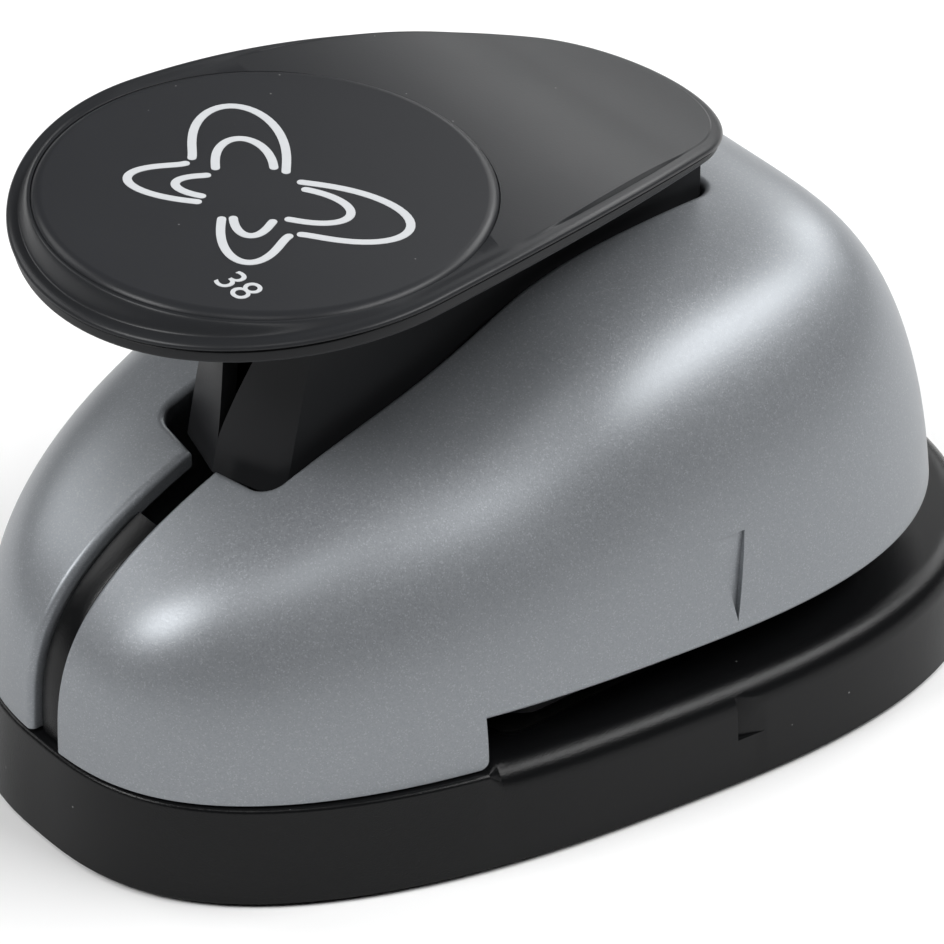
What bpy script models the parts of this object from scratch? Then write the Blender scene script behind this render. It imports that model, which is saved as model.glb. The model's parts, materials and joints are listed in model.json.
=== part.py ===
# Lever craft punch: moulded base, painted shell, lever with a round pad, and a steel punch and die
# Metres, +Z up. The pad is at -Y, the paper goes in from +Y, and the origin is under the base's middle.
import bpy
import bmesh
from math import acos, atan2, cos, exp, hypot, pi, radians, sin, sqrt, tan, tanh, tau
from mathutils import Matrix, Vector

mm = 0.001

# Clearance between pieces that touch, and how far a cutter runs past what it cuts
seat_gap = 0.3 * mm
overrun = 3.0 * mm
weld_distance = 0.001 * mm

# Base
base_nose_room = 19.7 * mm
base_side_room = 8.5 * mm
base_height = 11.7 * mm
base_wall = 2.2 * mm
base_draft = 0.5 * mm
base_foot_chamfer = 0.6 * mm
base_rim_radius = 0.5 * mm
base_power_share = 2.64
base_taper_share = 0.187
deck_thickness = 2.5 * mm
deck_edge_radius = 3.0 * mm
rib_thickness = 1.3 * mm
rib_lift = 1.5 * mm
length_rib_x = 14.0 * mm
side_rib_reach = 12.0 * mm
lip_clearance = 0.4 * mm
lip_thickness = 1.3 * mm
lip_height = 2.0 * mm
lip_gap_half_width = 6.0 * mm
base_mark_lead = 1.0 * mm
base_mark_width = 3.6 * mm
base_mark_depth = 0.7 * mm
base_mark_bottom = 5.6 * mm

# Paper slot between the shell and the base
slot_lead = 1.5 * mm
slot_height = 5.8 * mm
slot_corner_radius = 1.0 * mm

# Punched shape, a plain butterfly whose wings are two bumps on a round body
motif_half_width = 19.0 * mm
motif_half_height = 11.5 * mm
motif_y = 7.0 * mm
upper_wing_share = (3.2, radians(62), radians(31))
lower_wing_share = (2.2, radians(130), radians(24))

# Die plate and the well that holds it
die_side_margin = 8.5 * mm
die_front_margin = 12.5 * mm
die_rear_margin = 8.5 * mm
die_corner_radius = 2.5 * mm
die_thickness = 2.5 * mm
punch_clearance = 0.3 * mm
ledge_thickness = 2.0 * mm
well_wall = 1.6 * mm
well_lift = 3.0 * mm
window_margin = 1.0 * mm
window_corner_radius = 2.0 * mm

# Punch frame, which guides the punch and carries the lever
paper_gap = 1.3 * mm
flange_thickness = 3.0 * mm
flange_tail = 8.0 * mm
flange_corner_radius = 2.5 * mm
foot_side_setback = 6.5 * mm
foot_gap = 3.0 * mm
foot_length = 14.0 * mm
lug_thickness = 3.5 * mm
lug_radius = 4.2 * mm
gusset_setback = 0.5 * mm
gusset_height = 12.0 * mm

# Lever hinge
pivot_room = 5.5 * mm
pivot_rise = 26.5 * mm
pin_radius = 1.75 * mm
pin_head_radius = 3.0 * mm
pin_head_thickness = 1.2 * mm
pin_groove_depth = 0.45 * mm
pin_tail = 1.0 * mm
clip_thickness = 0.7 * mm
clip_rim = 1.3 * mm
clip_opening_share = 0.195
washer_thickness = 0.7 * mm
washer_play = 0.4 * mm
washer_rim = 1.9 * mm

# Punch, its head plate and the pad that the lever's nose pushes on
return_space = 10.3 * mm
head_thickness = 3.0 * mm
head_half_depth = 6.5 * mm
head_end_reach = 4.2 * mm
head_corner_radius = 3.5 * mm
press_pad_half_width = 5.5 * mm
press_pad_half_depth = 6.0 * mm
press_pad_height = 3.8 * mm
press_pad_radius = 1.2 * mm
press_peg_radius = 1.5 * mm
press_peg_length = 2.0 * mm

# Return springs and their posts
post_margin = 3.5 * mm
post_radius = 1.6 * mm
post_socket_depth = 2.0 * mm
post_groove_depth = 0.35 * mm
post_tail = 1.0 * mm
post_clearance = 0.4 * mm
spring_coil_radius = 2.9 * mm
spring_wire_radius = 0.35 * mm
spring_turns = 6
spring_points_per_turn = 8

# Screws
screw_radius = 1.4 * mm
screw_clearance = 0.3 * mm
screw_head_radius = 2.6 * mm
screw_head_height = 1.6 * mm
driver_recess_radius = 1.1 * mm
driver_recess_depth = 0.8 * mm
boss_wall = 1.8 * mm
boss_lift = 2.0 * mm
counterbore_depth = 3.2 * mm
shell_screw_inset = 11.0 * mm
shell_screw_reach = 9.0 * mm
frame_screw_x = 16.0 * mm
frame_screw_pitch = 9.0 * mm
frame_screw_cover = 1.2 * mm
rear_screw_side_inset = 6.5 * mm
rear_screw_inset = 5.0 * mm
rear_screw_reach = 9.0 * mm
die_screw_inset = 3.2 * mm
die_screw_cover = 0.7 * mm
head_screw_share = (0.605, 0.224)
head_screw_reach = 5.0 * mm

# Shell
shell_wall = 2.0 * mm
shell_front_setback = 0.7 * mm
shell_rear_setback = 6.2 * mm
shell_side_setback = 1.6 * mm
shell_front_height = 31.5 * mm
lug_headroom = 1.4 * mm
shell_step_lead = 10.8 * mm
shell_step_length = 9.8 * mm
shell_taper_share = 0.18
shell_power_share = 2.65
front_profile_share = (1.43, 2.99)
rear_profile_share = (8.2, 1.0)
section_share = (4.2, 1.77)
shell_boss_radius = 3.0 * mm
roof_opening_clearance = 0.8 * mm
roof_opening_front_clearance = 2.0 * mm
roof_opening_peak = 1.3 * mm
roof_opening_rear_setback = 0.6 * mm
roof_opening_radius = 2.0 * mm
outline_step = 4.0 * mm
edge_round = 0.8 * mm
nose_slot_half_width = 2.0 * mm

# Arrow mark on each side of the shell
arrow_half_width = 1.8 * mm
arrow_lift = 1.5 * mm
arrow_height = 9.5 * mm
arrow_depth = 0.6 * mm
arrow_depth_share = (0.1, 0.5, 1.0)

# Strip that fills the slot in the shell's nose
strip_recess = 1.0 * mm
strip_flange_half_width = 4.0 * mm
strip_flange_thickness = 1.3 * mm
strip_length = 13.4 * mm

# Lever outline, and the level of its pad above the shell's crown
lever_rise = 15.0 * mm
lever_arm = 48.6 * mm
pad_radius = 24.9 * mm
tail_lead = 10.6 * mm
tail_radius = 15.2 * mm
flank_radius = 129.0 * mm

# Lines along the lever: its seam, its underside, and its top, which holds the disc and bends down to the tail
rim_apex_lead = 46.9 * mm
rim_bend_radius = 156.6 * mm
underside_bend_radius = 172.0 * mm
top_slope_share = 0.025
top_bend_lead = 30.0 * mm
top_bend_radius = 80.0 * mm

# Lever cover, the lip plate below its seam, and the disc in its top
seam_drop = 0.95 * mm
cover_side_height = 0.15 * mm
cover_edge_width = 0.85 * mm
cover_edge_rise = 0.5 * mm
cover_ledge = 0.25 * mm
cover_top_rise = 0.06 * mm
cover_pad_inset = 1.9 * mm
cover_tail_inset = 7.5 * mm
cover_widening_lead = 42.0 * mm
cover_widening_length = 16.0 * mm
lip_plate_thickness = 1.5 * mm
lip_plate_inset = 0.35 * mm
lip_plate_round = 0.5 * mm
disc_radius = 22.5 * mm
disc_thickness = 0.4 * mm
disc_clearance = 0.3 * mm
disc_seat_rim = 0.3 * mm
disc_seat_thickness = 0.6 * mm

# Lever web, a box open at its top, with the hub and the nose below it
web_bottom_half_width = 7.8 * mm
web_side_slope_share = 0.01
web_front_reach = 55.7 * mm
web_front_peak = 2.05 * mm
web_front_slope_share = 0.22
web_front_radius = 1.0 * mm
web_rear_gap = 0.8 * mm
web_wall = 1.8 * mm
web_floor = 2.8 * mm
web_lift = 1.3 * mm
web_cavity_setback = 7.5 * mm
hub_half_width = 8.0 * mm
hub_radius = 4.0 * mm
nose_radius = 4.0 * mm
nose_half_width = 6.0 * mm
vee_lift = 3.5 * mm
vee_height = 11.0 * mm
vee_half_width = 2.9 * mm
vee_top = 19.0 * mm
vee_power_share = 1.25
vee_return = 0.3 * mm
pad_rib_reach = 20.0 * mm
pad_rib_depth = 2.4 * mm
pad_rib_pitch = 9.0 * mm

# Levels and places that follow from the sizes above
die_half_width = motif_half_width + die_side_margin
die_front = motif_y - motif_half_height - die_front_margin
die_rear = motif_y + motif_half_height + die_rear_margin
foot_rear = die_front - foot_gap
foot_front = foot_rear - foot_length
foot_half_width = die_half_width - foot_side_setback
base_half_length = base_nose_room - foot_front
base_half_width = die_half_width + base_side_room
slot_front = foot_rear - slot_lead
slot_top = base_height + slot_height
flange_bottom = base_height + paper_gap
flange_top = flange_bottom + flange_thickness
pivot_y = motif_y + motif_half_height + pivot_room
pivot_z = flange_top + pivot_rise
flange_rear = pivot_y + flange_tail
foot_y = (foot_front + foot_rear) / 2
lug_inner_x = hub_half_width + washer_thickness + washer_play * 2
post_x = motif_half_width + post_margin
rear_screw_x = die_half_width - rear_screw_side_inset
head_screw_x, head_screw_y = (share * half for share, half in
                              zip(head_screw_share, (motif_half_width, motif_half_height)))
pad_y = pivot_y - lever_arm
tail_y = pivot_y - tail_lead
rim_apex_y = pivot_y - rim_apex_lead
top_bend_y = pivot_y - top_bend_lead
widening_y = pivot_y - cover_widening_lead
web_front = pivot_y - web_front_reach
roof_opening_half_width = hub_half_width + roof_opening_clearance
roof_opening_front = web_front + web_front_peak - roof_opening_front_clearance
roof_opening_rear = pivot_y + roof_opening_rear_setback
head_bottom = flange_top + return_space
head_top = head_bottom + head_thickness
press_pad_top = head_top + seat_gap + press_pad_height
nose_bottom = press_pad_top + seat_gap
web_bottom = nose_bottom + web_lift
web_rear = roof_opening_rear - web_rear_gap
die_bottom = base_height - die_thickness
ledge_top = die_bottom - seat_gap
ledge_bottom = ledge_top - ledge_thickness
well_half_width = die_half_width + seat_gap
well_front = die_front - seat_gap
well_rear = die_rear + seat_gap
shell_front_length = base_half_length - shell_front_setback
shell_rear_length = base_half_length - shell_rear_setback
shell_half_width = base_half_width - shell_side_setback
shell_screw_y = shell_screw_inset - shell_front_length
shell_step_y = motif_y - shell_step_lead
strip_end = strip_length - shell_front_length
shell_foot = base_height + seat_gap
shell_rear_height = pivot_z + lug_radius + lug_headroom + shell_wall - shell_foot
shell_crown = shell_foot + shell_rear_height
lever_level = shell_crown + lever_rise
seam_level = lever_level - seam_drop
lip_top = seam_level - seat_gap
lip_bottom = lip_top - lip_plate_thickness
disc_recess_level = lever_level - disc_thickness - seat_gap
disc_seat_level = disc_recess_level - disc_seat_thickness
disc_recess_radius = disc_radius + disc_clearance
disc_seat_radius = disc_recess_radius + disc_seat_rim
screw_hole_radius = screw_radius + screw_clearance
screw_sink_radius = screw_head_radius + seat_gap
base_screw_seat = boss_lift + counterbore_depth
rear_screw_seat = flange_bottom + screw_head_height + seat_gap
rear_screw_y = flange_rear - rear_screw_inset
frame_hole_top = flange_top - frame_screw_cover
die_hole_top = base_height - die_screw_cover
head_screw_seat = head_top - screw_head_height

# Places of the screws, as (x, y)
sides = {"left": -1, "right": 1}
shell_screw_places = [(side * length_rib_x, shell_screw_y) for side in (-1, 1)]
frame_screw_places = [(side * (frame_screw_x - k * frame_screw_pitch), foot_y)
                      for side in (-1, 1) for k in (0, 1)]
rear_screw_places = [(side * rear_screw_x, rear_screw_y) for side in (-1, 1)]
head_screw_places = [(side * head_screw_x, motif_y + head_screw_y) for side in (-1, 1)]
die_screw_places = [(side * (die_half_width - die_screw_inset), y) for side in (-1, 1)
                    for y in (die_front + die_screw_inset, die_rear - die_screw_inset)]


# Scene and objects
def clear_scene():
    for item in list(bpy.data.objects):
        bpy.data.objects.remove(item, do_unlink=True)


def finish(name, colour, roughness, metallic):
    made = bpy.data.materials.new(name)
    made.use_nodes = True
    shader = made.node_tree.nodes["Principled BSDF"]
    shader.inputs["Base Color"].default_value = (*colour, 1.0)
    shader.inputs["Roughness"].default_value = roughness
    shader.inputs["Metallic"].default_value = metallic
    return made


def shade(mesh):
    mesh.shade_smooth()
    mesh.set_sharp_from_angle(angle=radians(35))


def mesh_from(name, bm, material=None):
    bmesh.ops.recalc_face_normals(bm, faces=bm.faces)
    mesh = bpy.data.meshes.new(name)
    bm.to_mesh(mesh)
    bm.free()
    shade(mesh)
    if material:
        mesh.materials.append(material)
    return mesh


def add(name, data, place=(0, 0, 0), turn=(0, 0, 0)):
    item = bpy.data.objects.new(name, data)
    item.location = place
    item.rotation_euler = turn
    bpy.context.scene.collection.objects.link(item)
    return item


def tool(bm, place=(0, 0, 0), turn=(0, 0, 0)):
    made = add("tool", mesh_from("tool", bm), place, turn)
    made.hide_render = True
    made.display_type = "WIRE"
    return made


def combine(target, tools, operation):
    for number, item in enumerate(tools):
        step = target.modifiers.new(f"{operation.title()} {number}", "BOOLEAN")
        step.object = item
        step.operation = operation
        step.solver = "EXACT"


def cut(target, *tools):
    combine(target, tools, "DIFFERENCE")


def join(target, *tools):
    combine(target, tools, "UNION")


def apply_booleans():
    graph = bpy.context.evaluated_depsgraph_get()
    shapes = {}
    for item in bpy.context.scene.objects:
        if item.modifiers and not item.hide_render:
            shapes[item] = bpy.data.meshes.new_from_object(item.evaluated_get(graph))
    for item, mesh in shapes.items():
        item.modifiers.clear()
        item.data = mesh
        shade(mesh)
    for item in [item for item in bpy.context.scene.objects if item.hide_render]:
        bpy.data.objects.remove(item)


def hang(parent, *items):
    for item in items:
        item.parent = parent
        item.matrix_parent_inverse = Matrix.Translation(-parent.location)


# Outlines in a plane
def box(low_a, high_a, low_b, high_b):
    return [(low_a, low_b), (high_a, low_b), (high_a, high_b), (low_a, high_b)]


def circle(radius, steps):
    return [(radius * cos(tau * k / steps), radius * sin(tau * k / steps)) for k in range(steps)]


def fillet(points, radius, steps=3):
    outline = []
    for k, point in enumerate(points):
        corner = Vector(point)
        back = (Vector(points[k - 1]) - corner).normalized()
        on = (Vector(points[(k + 1) % len(points)]) - corner).normalized()
        half = back.angle(on) / 2
        centre = corner + (back + on).normalized() * radius / sin(half)
        start = corner + back * radius / tan(half) - centre
        end = corner + on * radius / tan(half) - centre
        sweep = atan2(start.x * end.y - start.y * end.x, start.dot(end))
        for step in range(steps + 1):
            spoke = Matrix.Rotation(sweep * step / steps, 2) @ start
            outline.append((centre.x + spoke.x, centre.y + spoke.y))
    return outline


def divide(outline, longest):
    divided = []
    for (ax, ay), (bx, by) in zip(outline, outline[1:] + outline[:1]):
        pieces = 2 * round(hypot(bx - ax, by - ay) / longest / 2) or 1
        divided += [(ax + (bx - ax) * k / pieces, ay + (by - ay) * k / pieces) for k in range(pieces)]
    return divided


def inset(outline, distance):
    # the outline runs anticlockwise, so its left side is inside
    moved = []
    for k, (x, y) in enumerate(outline):
        ax, ay = outline[k - 1]
        bx, by = outline[(k + 1) % len(outline)]
        length = hypot(bx - ax, by - ay)
        moved.append((x - (by - ay) / length * distance, y + (bx - ax) / length * distance))
    return moved


def power(value, exponent):
    return abs(value) ** exponent * (1 if value >= 0 else -1)


def squircle(angle, half_width, reach, taper, share):
    y = reach * power(sin(angle), 2 / share)
    return half_width * (1 + taper * y) * power(cos(angle), 2 / share), y


# Solids
def along_x(a, b, c):
    return c, a, b


def along_y(a, b, c):
    return a, c, b


def along_z(a, b, c):
    return a, b, c


def prism(outline, start, end, lay=along_z):
    bm = bmesh.new()
    face = bm.faces.new([bm.verts.new(lay(a, b, start)) for a, b in outline])
    grown = bmesh.ops.extrude_face_region(bm, geom=[face])["geom"]
    moved = [vert for vert in grown if isinstance(vert, bmesh.types.BMVert)]
    bmesh.ops.translate(bm, verts=moved, vec=lay(0, 0, end - start))
    return bm


def turned(profile, steps=16):
    # the profile runs from the axis to the axis, as (radius, height)
    bm = bmesh.new()
    chain = [bm.verts.new((radius, 0, height)) for radius, height in profile]
    edges = [bm.edges.new(pair) for pair in zip(chain, chain[1:])]
    bmesh.ops.spin(bm, geom=chain + edges, axis=(0, 0, 1), steps=steps, angle=tau, use_merge=True)
    bmesh.ops.remove_doubles(bm, verts=bm.verts, dist=weld_distance)
    return bm


def rod(radius, start, end, steps=16):
    return turned([(0, start), (radius, start), (radius, end), (0, end)], steps)


def stepped_bore(low, seat, top, steps=16):
    # a screw's head goes in from the low end up to the seat, and its shank up to the top
    profile = [(0, low), (screw_sink_radius, low), (screw_sink_radius, seat), (screw_hole_radius, seat),
               (screw_hole_radius, top), (0, top)]
    return turned(profile, steps)


def loft(rings, ladder=False):
    bm = bmesh.new()
    loops = [[bm.verts.new(point) for point in ring] for ring in rings]
    for low, high in zip(loops, loops[1:]):
        for k in range(len(low)):
            after = (k + 1) % len(low)
            bm.faces.new((low[k], low[after], high[after], high[k]))
    for loop in (loops[0], loops[-1]):
        if ladder:
            rungs(bm, loop)
        else:
            bm.faces.new(loop)
    return bm


def rungs(bm, loop):
    # faces between mirrored points, for a loop that starts on the middle line
    count = len(loop)
    for k in range(count // 2):
        corners = (loop[k], loop[k + 1], loop[(count - k - 1) % count], loop[(count - k) % count])
        bm.faces.new(dict.fromkeys(corners))


def washer(inner, rim, thickness, steps=16):
    loops = []
    bm = bmesh.new()
    for radius, height in ((inner, 0), (inner + rim, 0), (inner + rim, thickness), (inner, thickness)):
        loops.append([bm.verts.new((x, y, height)) for x, y in circle(radius, steps)])
    for first, second in zip(loops, loops[1:] + loops[:1]):
        for k in range(steps):
            after = (k + 1) % steps
            bm.faces.new((first[k], first[after], second[after], second[k]))
    return bm


def open_ring(inner, rim, thickness, steps=14):
    # a C-shaped clip, open towards -Y
    opening = tau * clip_opening_share
    angles = [opening / 2 - pi / 2 + (tau - opening) * k / steps for k in range(steps + 1)]
    outline = [((inner + rim) * cos(a), (inner + rim) * sin(a)) for a in angles]
    outline += [(inner * cos(a), inner * sin(a)) for a in reversed(angles)]
    return prism(outline, 0, thickness)


# Base
def base_outline(distance=0.0, steps=64):
    taper = base_taper_share / base_half_length
    outline = [squircle(tau * k / steps, base_half_width, base_half_length, taper, base_power_share)
               for k in range(steps)]
    return inset(outline, distance) if distance else outline


def base_half_width_at(y):
    flare = base_half_width * (1 + base_taper_share * y / base_half_length)
    return flare * (1 - abs(y / base_half_length) ** base_power_share) ** (1 / base_power_share)


def base_rings(arc_steps=3):
    outline = base_outline()
    rings = [[(x, y, 0) for x, y in inset(outline, base_foot_chamfer)],
             [(x, y, base_foot_chamfer) for x, y in outline]]
    for k in range(arc_steps + 1):
        angle = k / arc_steps * pi / 2
        inward, down = 1 - cos(angle), 1 - sin(angle)
        deck = [(x, y, base_height - deck_edge_radius * down)
                for x, y in inset(outline, base_draft + deck_edge_radius * inward)]
        rim = [(x, y, base_height - base_rim_radius * down)
               for x, y in inset(outline, base_draft + base_rim_radius * inward)]
        rings.append([far if y > slot_front else near for (x, y), far, near in zip(outline, deck, rim)])
    return rings


def base_hollow():
    deck_bottom = base_height - deck_thickness
    above = deck_bottom + overrun
    hollow = tool(prism(base_outline(base_wall, 44), -overrun, deck_bottom))
    skirt_half_width = well_half_width + well_wall
    skirt = box(-skirt_half_width, skirt_half_width, well_front - well_wall, well_rear + well_wall)
    cut(hollow, tool(prism(skirt, well_lift, above)))
    half = rib_thickness / 2
    for side in (-1, 1):
        x = side * length_rib_x
        front_rib = box(x - half, x + half, -base_half_length, well_front - half)
        rear_rib = box(x - half, x + half, well_rear + half, base_half_length)
        cut(hollow, tool(prism(front_rib, rib_lift, above)), tool(prism(rear_rib, rib_lift, above)))
        near, far = sorted((side * (well_half_width + half), side * base_half_length))
        for y in (motif_y - side_rib_reach, motif_y + side_rib_reach):
            cut(hollow, tool(prism(box(near, far, y - half, y + half), rib_lift, above)))
    for x, y in shell_screw_places + frame_screw_places:
        cut(hollow, tool(rod(screw_hole_radius + boss_wall, boss_lift, above, 20), (x, y, 0)))
    return hollow


def chip_window(margin):
    half_width, half_height = motif_half_width + margin, motif_half_height + margin
    return box(-half_width, half_width, motif_y - half_height, motif_y + half_height)


def die_well_moat():
    moat = tool(prism(box(-well_half_width, well_half_width, well_front, well_rear), -overrun, ledge_bottom))
    chute = fillet(chip_window(window_margin + well_wall), window_corner_radius + well_wall)
    cut(moat, tool(prism(chute, -overrun * 2, base_height)))
    return moat


def locating_lip():
    # a low wall that stands just inside the shell's foot, in front of the paper slot
    steps = 40
    outer, inner = ([shell_plan(k, steps, shell_wall + skin) for k in range(steps)]
                    for skin in (lip_clearance, lip_clearance + lip_thickness))
    top = base_height + lip_height
    lip = tool(prism(outer, base_height - deck_thickness / 2, top))
    wide = base_half_length * 2
    cut(lip, tool(prism(inner, 0, top + overrun)),
        tool(prism(box(-wide, wide, slot_front, wide), 0, top + overrun)),
        tool(prism(box(-lip_gap_half_width, lip_gap_half_width, -wide, 0), 0, top + overrun)))
    for x, y in shell_screw_places:
        cut(lip, tool(rod(shell_boss_radius + lip_clearance, 0, top + overrun, 20), (x, y, 0)))
    return lip


def make_base(material):
    base = add("base", mesh_from("base", loft(base_rings()), material))
    pocket = box(-well_half_width, well_half_width, well_front, well_rear)
    pocket = fillet(pocket, die_corner_radius + seat_gap)
    window = fillet(chip_window(window_margin), window_corner_radius)
    cut(base, base_hollow(), tool(prism(pocket, ledge_top, base_height + overrun)),
        tool(prism(window, -overrun, base_height)), die_well_moat())
    join(base, locating_lip())
    for x, y in shell_screw_places + frame_screw_places:
        cut(base, tool(stepped_bore(-overrun, base_screw_seat, base_height + overrun), (x, y, 0)))
    for x, y in die_screw_places:
        cut(base, tool(rod(screw_hole_radius, 0, base_height), (x, y, 0)))
    for side in (-1, 1):
        face = base_half_width_at(motif_y) - base_draft
        start = motif_y - base_mark_lead
        end = start + base_mark_width
        mark = [(side * (face - base_mark_depth), start), (side * (face + overrun), start),
                (side * (face + overrun), end), (side * face, end)]
        cut(base, tool(prism(mark, base_mark_bottom, base_height + overrun)))


# Punched shape and the pieces that it goes through
def motif_outline(grow=0.0, steps=48):
    raw = []
    for k in range(steps):
        angle = tau * k / steps
        from_top = min(angle, tau - angle)
        reach = 1.0
        for size, centre, spread in (upper_wing_share, lower_wing_share):
            reach += size * exp(-((from_top - centre) / spread) ** 2)
        raw.append((-reach * sin(angle), reach * cos(angle)))
    across = max(x for x, y in raw)
    top, bottom = max(y for x, y in raw), min(y for x, y in raw)
    middle, half_height = (top + bottom) / 2, (top - bottom) / 2
    outline = [(x / across * motif_half_width, motif_y + (y - middle) / half_height * motif_half_height)
               for x, y in raw]
    return inset(outline, -grow) if grow else outline


def make_die_plate(material):
    outline = fillet(box(-die_half_width, die_half_width, die_front, die_rear), die_corner_radius)
    plate = add("die_plate", mesh_from("die_plate", prism(outline, die_bottom, base_height), material))
    cut(plate, tool(prism(motif_outline(punch_clearance), die_bottom - overrun, base_height + overrun)))
    for x, y in die_screw_places:
        cut(plate, tool(rod(screw_hole_radius, die_bottom - overrun, die_hole_top), (x, y, 0)))


def flange_outline():
    shoulder = foot_rear + die_half_width - foot_half_width
    right = [(foot_half_width, foot_front), (foot_half_width, foot_rear), (die_half_width, shoulder),
             (die_half_width, flange_rear)]
    return fillet(right + [(-x, y) for x, y in reversed(right)], flange_corner_radius)


def lug_outline(steps=10):
    low = flange_top - flange_thickness / 2
    arc = [(pivot_y + lug_radius * cos(pi * k / steps), pivot_z + lug_radius * sin(pi * k / steps))
           for k in range(steps + 1)]
    return [(flange_rear - gusset_setback, low), (pivot_y + lug_radius, flange_top + gusset_height), *arc,
            (pivot_y - lug_radius, low)]


def make_punch_frame(material):
    flange = prism(flange_outline(), flange_bottom, flange_top)
    frame = add("punch_frame", mesh_from("punch_frame", flange, material))
    foot = fillet(box(-foot_half_width, foot_half_width, foot_front, foot_rear), flange_corner_radius)
    join(frame, tool(prism(foot, shell_foot, flange_top - flange_thickness / 2)))
    for side in (-1, 1):
        near, far = sorted((side * lug_inner_x, side * (lug_inner_x + lug_thickness)))
        join(frame, tool(prism(lug_outline(), near, far, along_x)))
    cut(frame, tool(prism(motif_outline(punch_clearance), base_height, flange_top + overrun)))
    reach = lug_inner_x + lug_thickness + overrun
    cut(frame, tool(rod(pin_radius + seat_gap, -reach, reach, 20), (0, pivot_y, pivot_z), (0, pi / 2, 0)))
    for side in (-1, 1):
        socket = rod(post_radius + seat_gap, flange_top - post_socket_depth, flange_top + overrun)
        cut(frame, tool(socket, (side * post_x, motif_y, 0)))
    for x, y in rear_screw_places:
        cut(frame, tool(stepped_bore(base_height, rear_screw_seat, flange_top + overrun), (x, y, 0)))
    for x, y in frame_screw_places:
        cut(frame, tool(rod(screw_hole_radius, base_height, frame_hole_top), (x, y, 0)))


# Screws, each made once and set in its places
def screw_mesh(name, length, material, steps=8):
    # the seat under the head is at height 0, and the shank goes up
    low = -screw_head_height
    profile = [(0, low + driver_recess_depth), (driver_recess_radius, low + driver_recess_depth),
               (driver_recess_radius, low), (screw_head_radius, low), (screw_head_radius, 0),
               (screw_radius, 0), (screw_radius, length), (0, length)]
    return mesh_from(name, turned(profile, steps), material)


def set_screws(name, places, seat, tip, material, upside_down=False):
    length = tip - seat
    mesh = screw_mesh(name, abs(length), material)
    for number, (x, y) in enumerate(places, 1):
        add(f"{name}_{number}", mesh, (x, y, seat), (pi, 0, 0) if upside_down else (0, 0, 0))


def make_screws(material):
    set_screws("shell_front_screw", shell_screw_places, base_screw_seat - seat_gap,
               shell_foot + shell_screw_reach, material)
    set_screws("frame_screw", frame_screw_places, base_screw_seat - seat_gap,
               frame_hole_top - seat_gap, material)
    set_screws("shell_rear_screw", rear_screw_places, rear_screw_seat - seat_gap,
               flange_top + rear_screw_reach, material)
    set_screws("die_screw", die_screw_places, ledge_bottom - seat_gap, die_hole_top - seat_gap, material)


# Hinge pin, its clip and the washers beside the hub, all laid along X
def make_hinge(steel, plastic):
    lug_outer = lug_inner_x + lug_thickness + seat_gap
    groove_end = lug_outer + clip_thickness + seat_gap * 2
    end = groove_end + pin_tail
    head_end = lug_outer + pin_head_thickness
    groove_radius = pin_radius - pin_groove_depth
    profile = [(0, -end), (groove_radius, -end), (pin_radius, pin_tail / 2 - end),
               (pin_radius, -groove_end), (groove_radius, -groove_end),
               (groove_radius, -lug_outer), (pin_radius, -lug_outer),
               (pin_radius, lug_outer), (pin_head_radius, lug_outer),
               (pin_head_radius, head_end), (0, head_end)]
    turn = (0, pi / 2, 0)
    add("hinge_pin", mesh_from("hinge_pin", turned(profile, 20), steel), (0, pivot_y, pivot_z), turn)
    clip = mesh_from("pin_clip", open_ring(groove_radius + seat_gap, clip_rim, clip_thickness), steel)
    add("pin_clip", clip, (seat_gap - groove_end, pivot_y, pivot_z), turn)
    ring = mesh_from("hinge_washer", washer(pin_radius + seat_gap, washer_rim, washer_thickness), plastic)
    middle = (hub_half_width + lug_inner_x) / 2
    for name, side in sides.items():
        add(f"hinge_washer_{name}", ring, (side * middle - washer_thickness / 2, pivot_y, pivot_z), turn)


# Punch, head plate, press pad and the screws that hold the plate
def make_plunger(steel, zinc, plastic):
    punch_solid = prism(motif_outline(), flange_bottom + seat_gap, head_bottom - seat_gap)
    punch = add("punch", mesh_from("punch", punch_solid, steel))
    reach = post_x + head_end_reach
    outline = box(-reach, reach, motif_y - head_half_depth, motif_y + head_half_depth)
    plate_solid = prism(fillet(outline, head_corner_radius, 4), head_bottom, head_top)
    plate = add("punch_head", mesh_from("punch_head", plate_solid, zinc))
    pad_outline = box(-press_pad_half_width, press_pad_half_width, motif_y - press_pad_half_depth,
                      motif_y + press_pad_half_depth)
    pad_solid = prism(fillet(pad_outline, press_pad_radius), head_top + seat_gap, press_pad_top)
    pad = add("press_pad", mesh_from("press_pad", pad_solid, plastic))
    peg_bottom = head_top - press_peg_length
    join(pad, tool(rod(press_peg_radius, peg_bottom, head_top + press_pad_height / 2), (0, motif_y, 0)))
    peg_hole = rod(press_peg_radius + seat_gap, peg_bottom - seat_gap, head_top + overrun)
    cut(plate, tool(peg_hole, (0, motif_y, 0)))
    for side in (-1, 1):
        bore = rod(post_radius + post_clearance, head_bottom - overrun, head_top + overrun)
        cut(plate, tool(bore, (side * post_x, motif_y, 0)))
    tip = head_bottom - head_screw_reach
    for x, y in head_screw_places:
        bore = stepped_bore(-head_top - overrun, -head_screw_seat, overrun - head_bottom)
        cut(plate, tool(bore, (x, y, 0), (pi, 0, 0)))
        cut(punch, tool(rod(screw_hole_radius, tip - seat_gap, head_bottom), (x, y, 0)))
    set_screws("head_screw", head_screw_places, head_screw_seat + seat_gap, tip, steel, upside_down=True)
    screws = [bpy.data.objects[f"head_screw_{number}"] for number in (1, 2)]
    return [punch, plate, pad, *screws]


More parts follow.
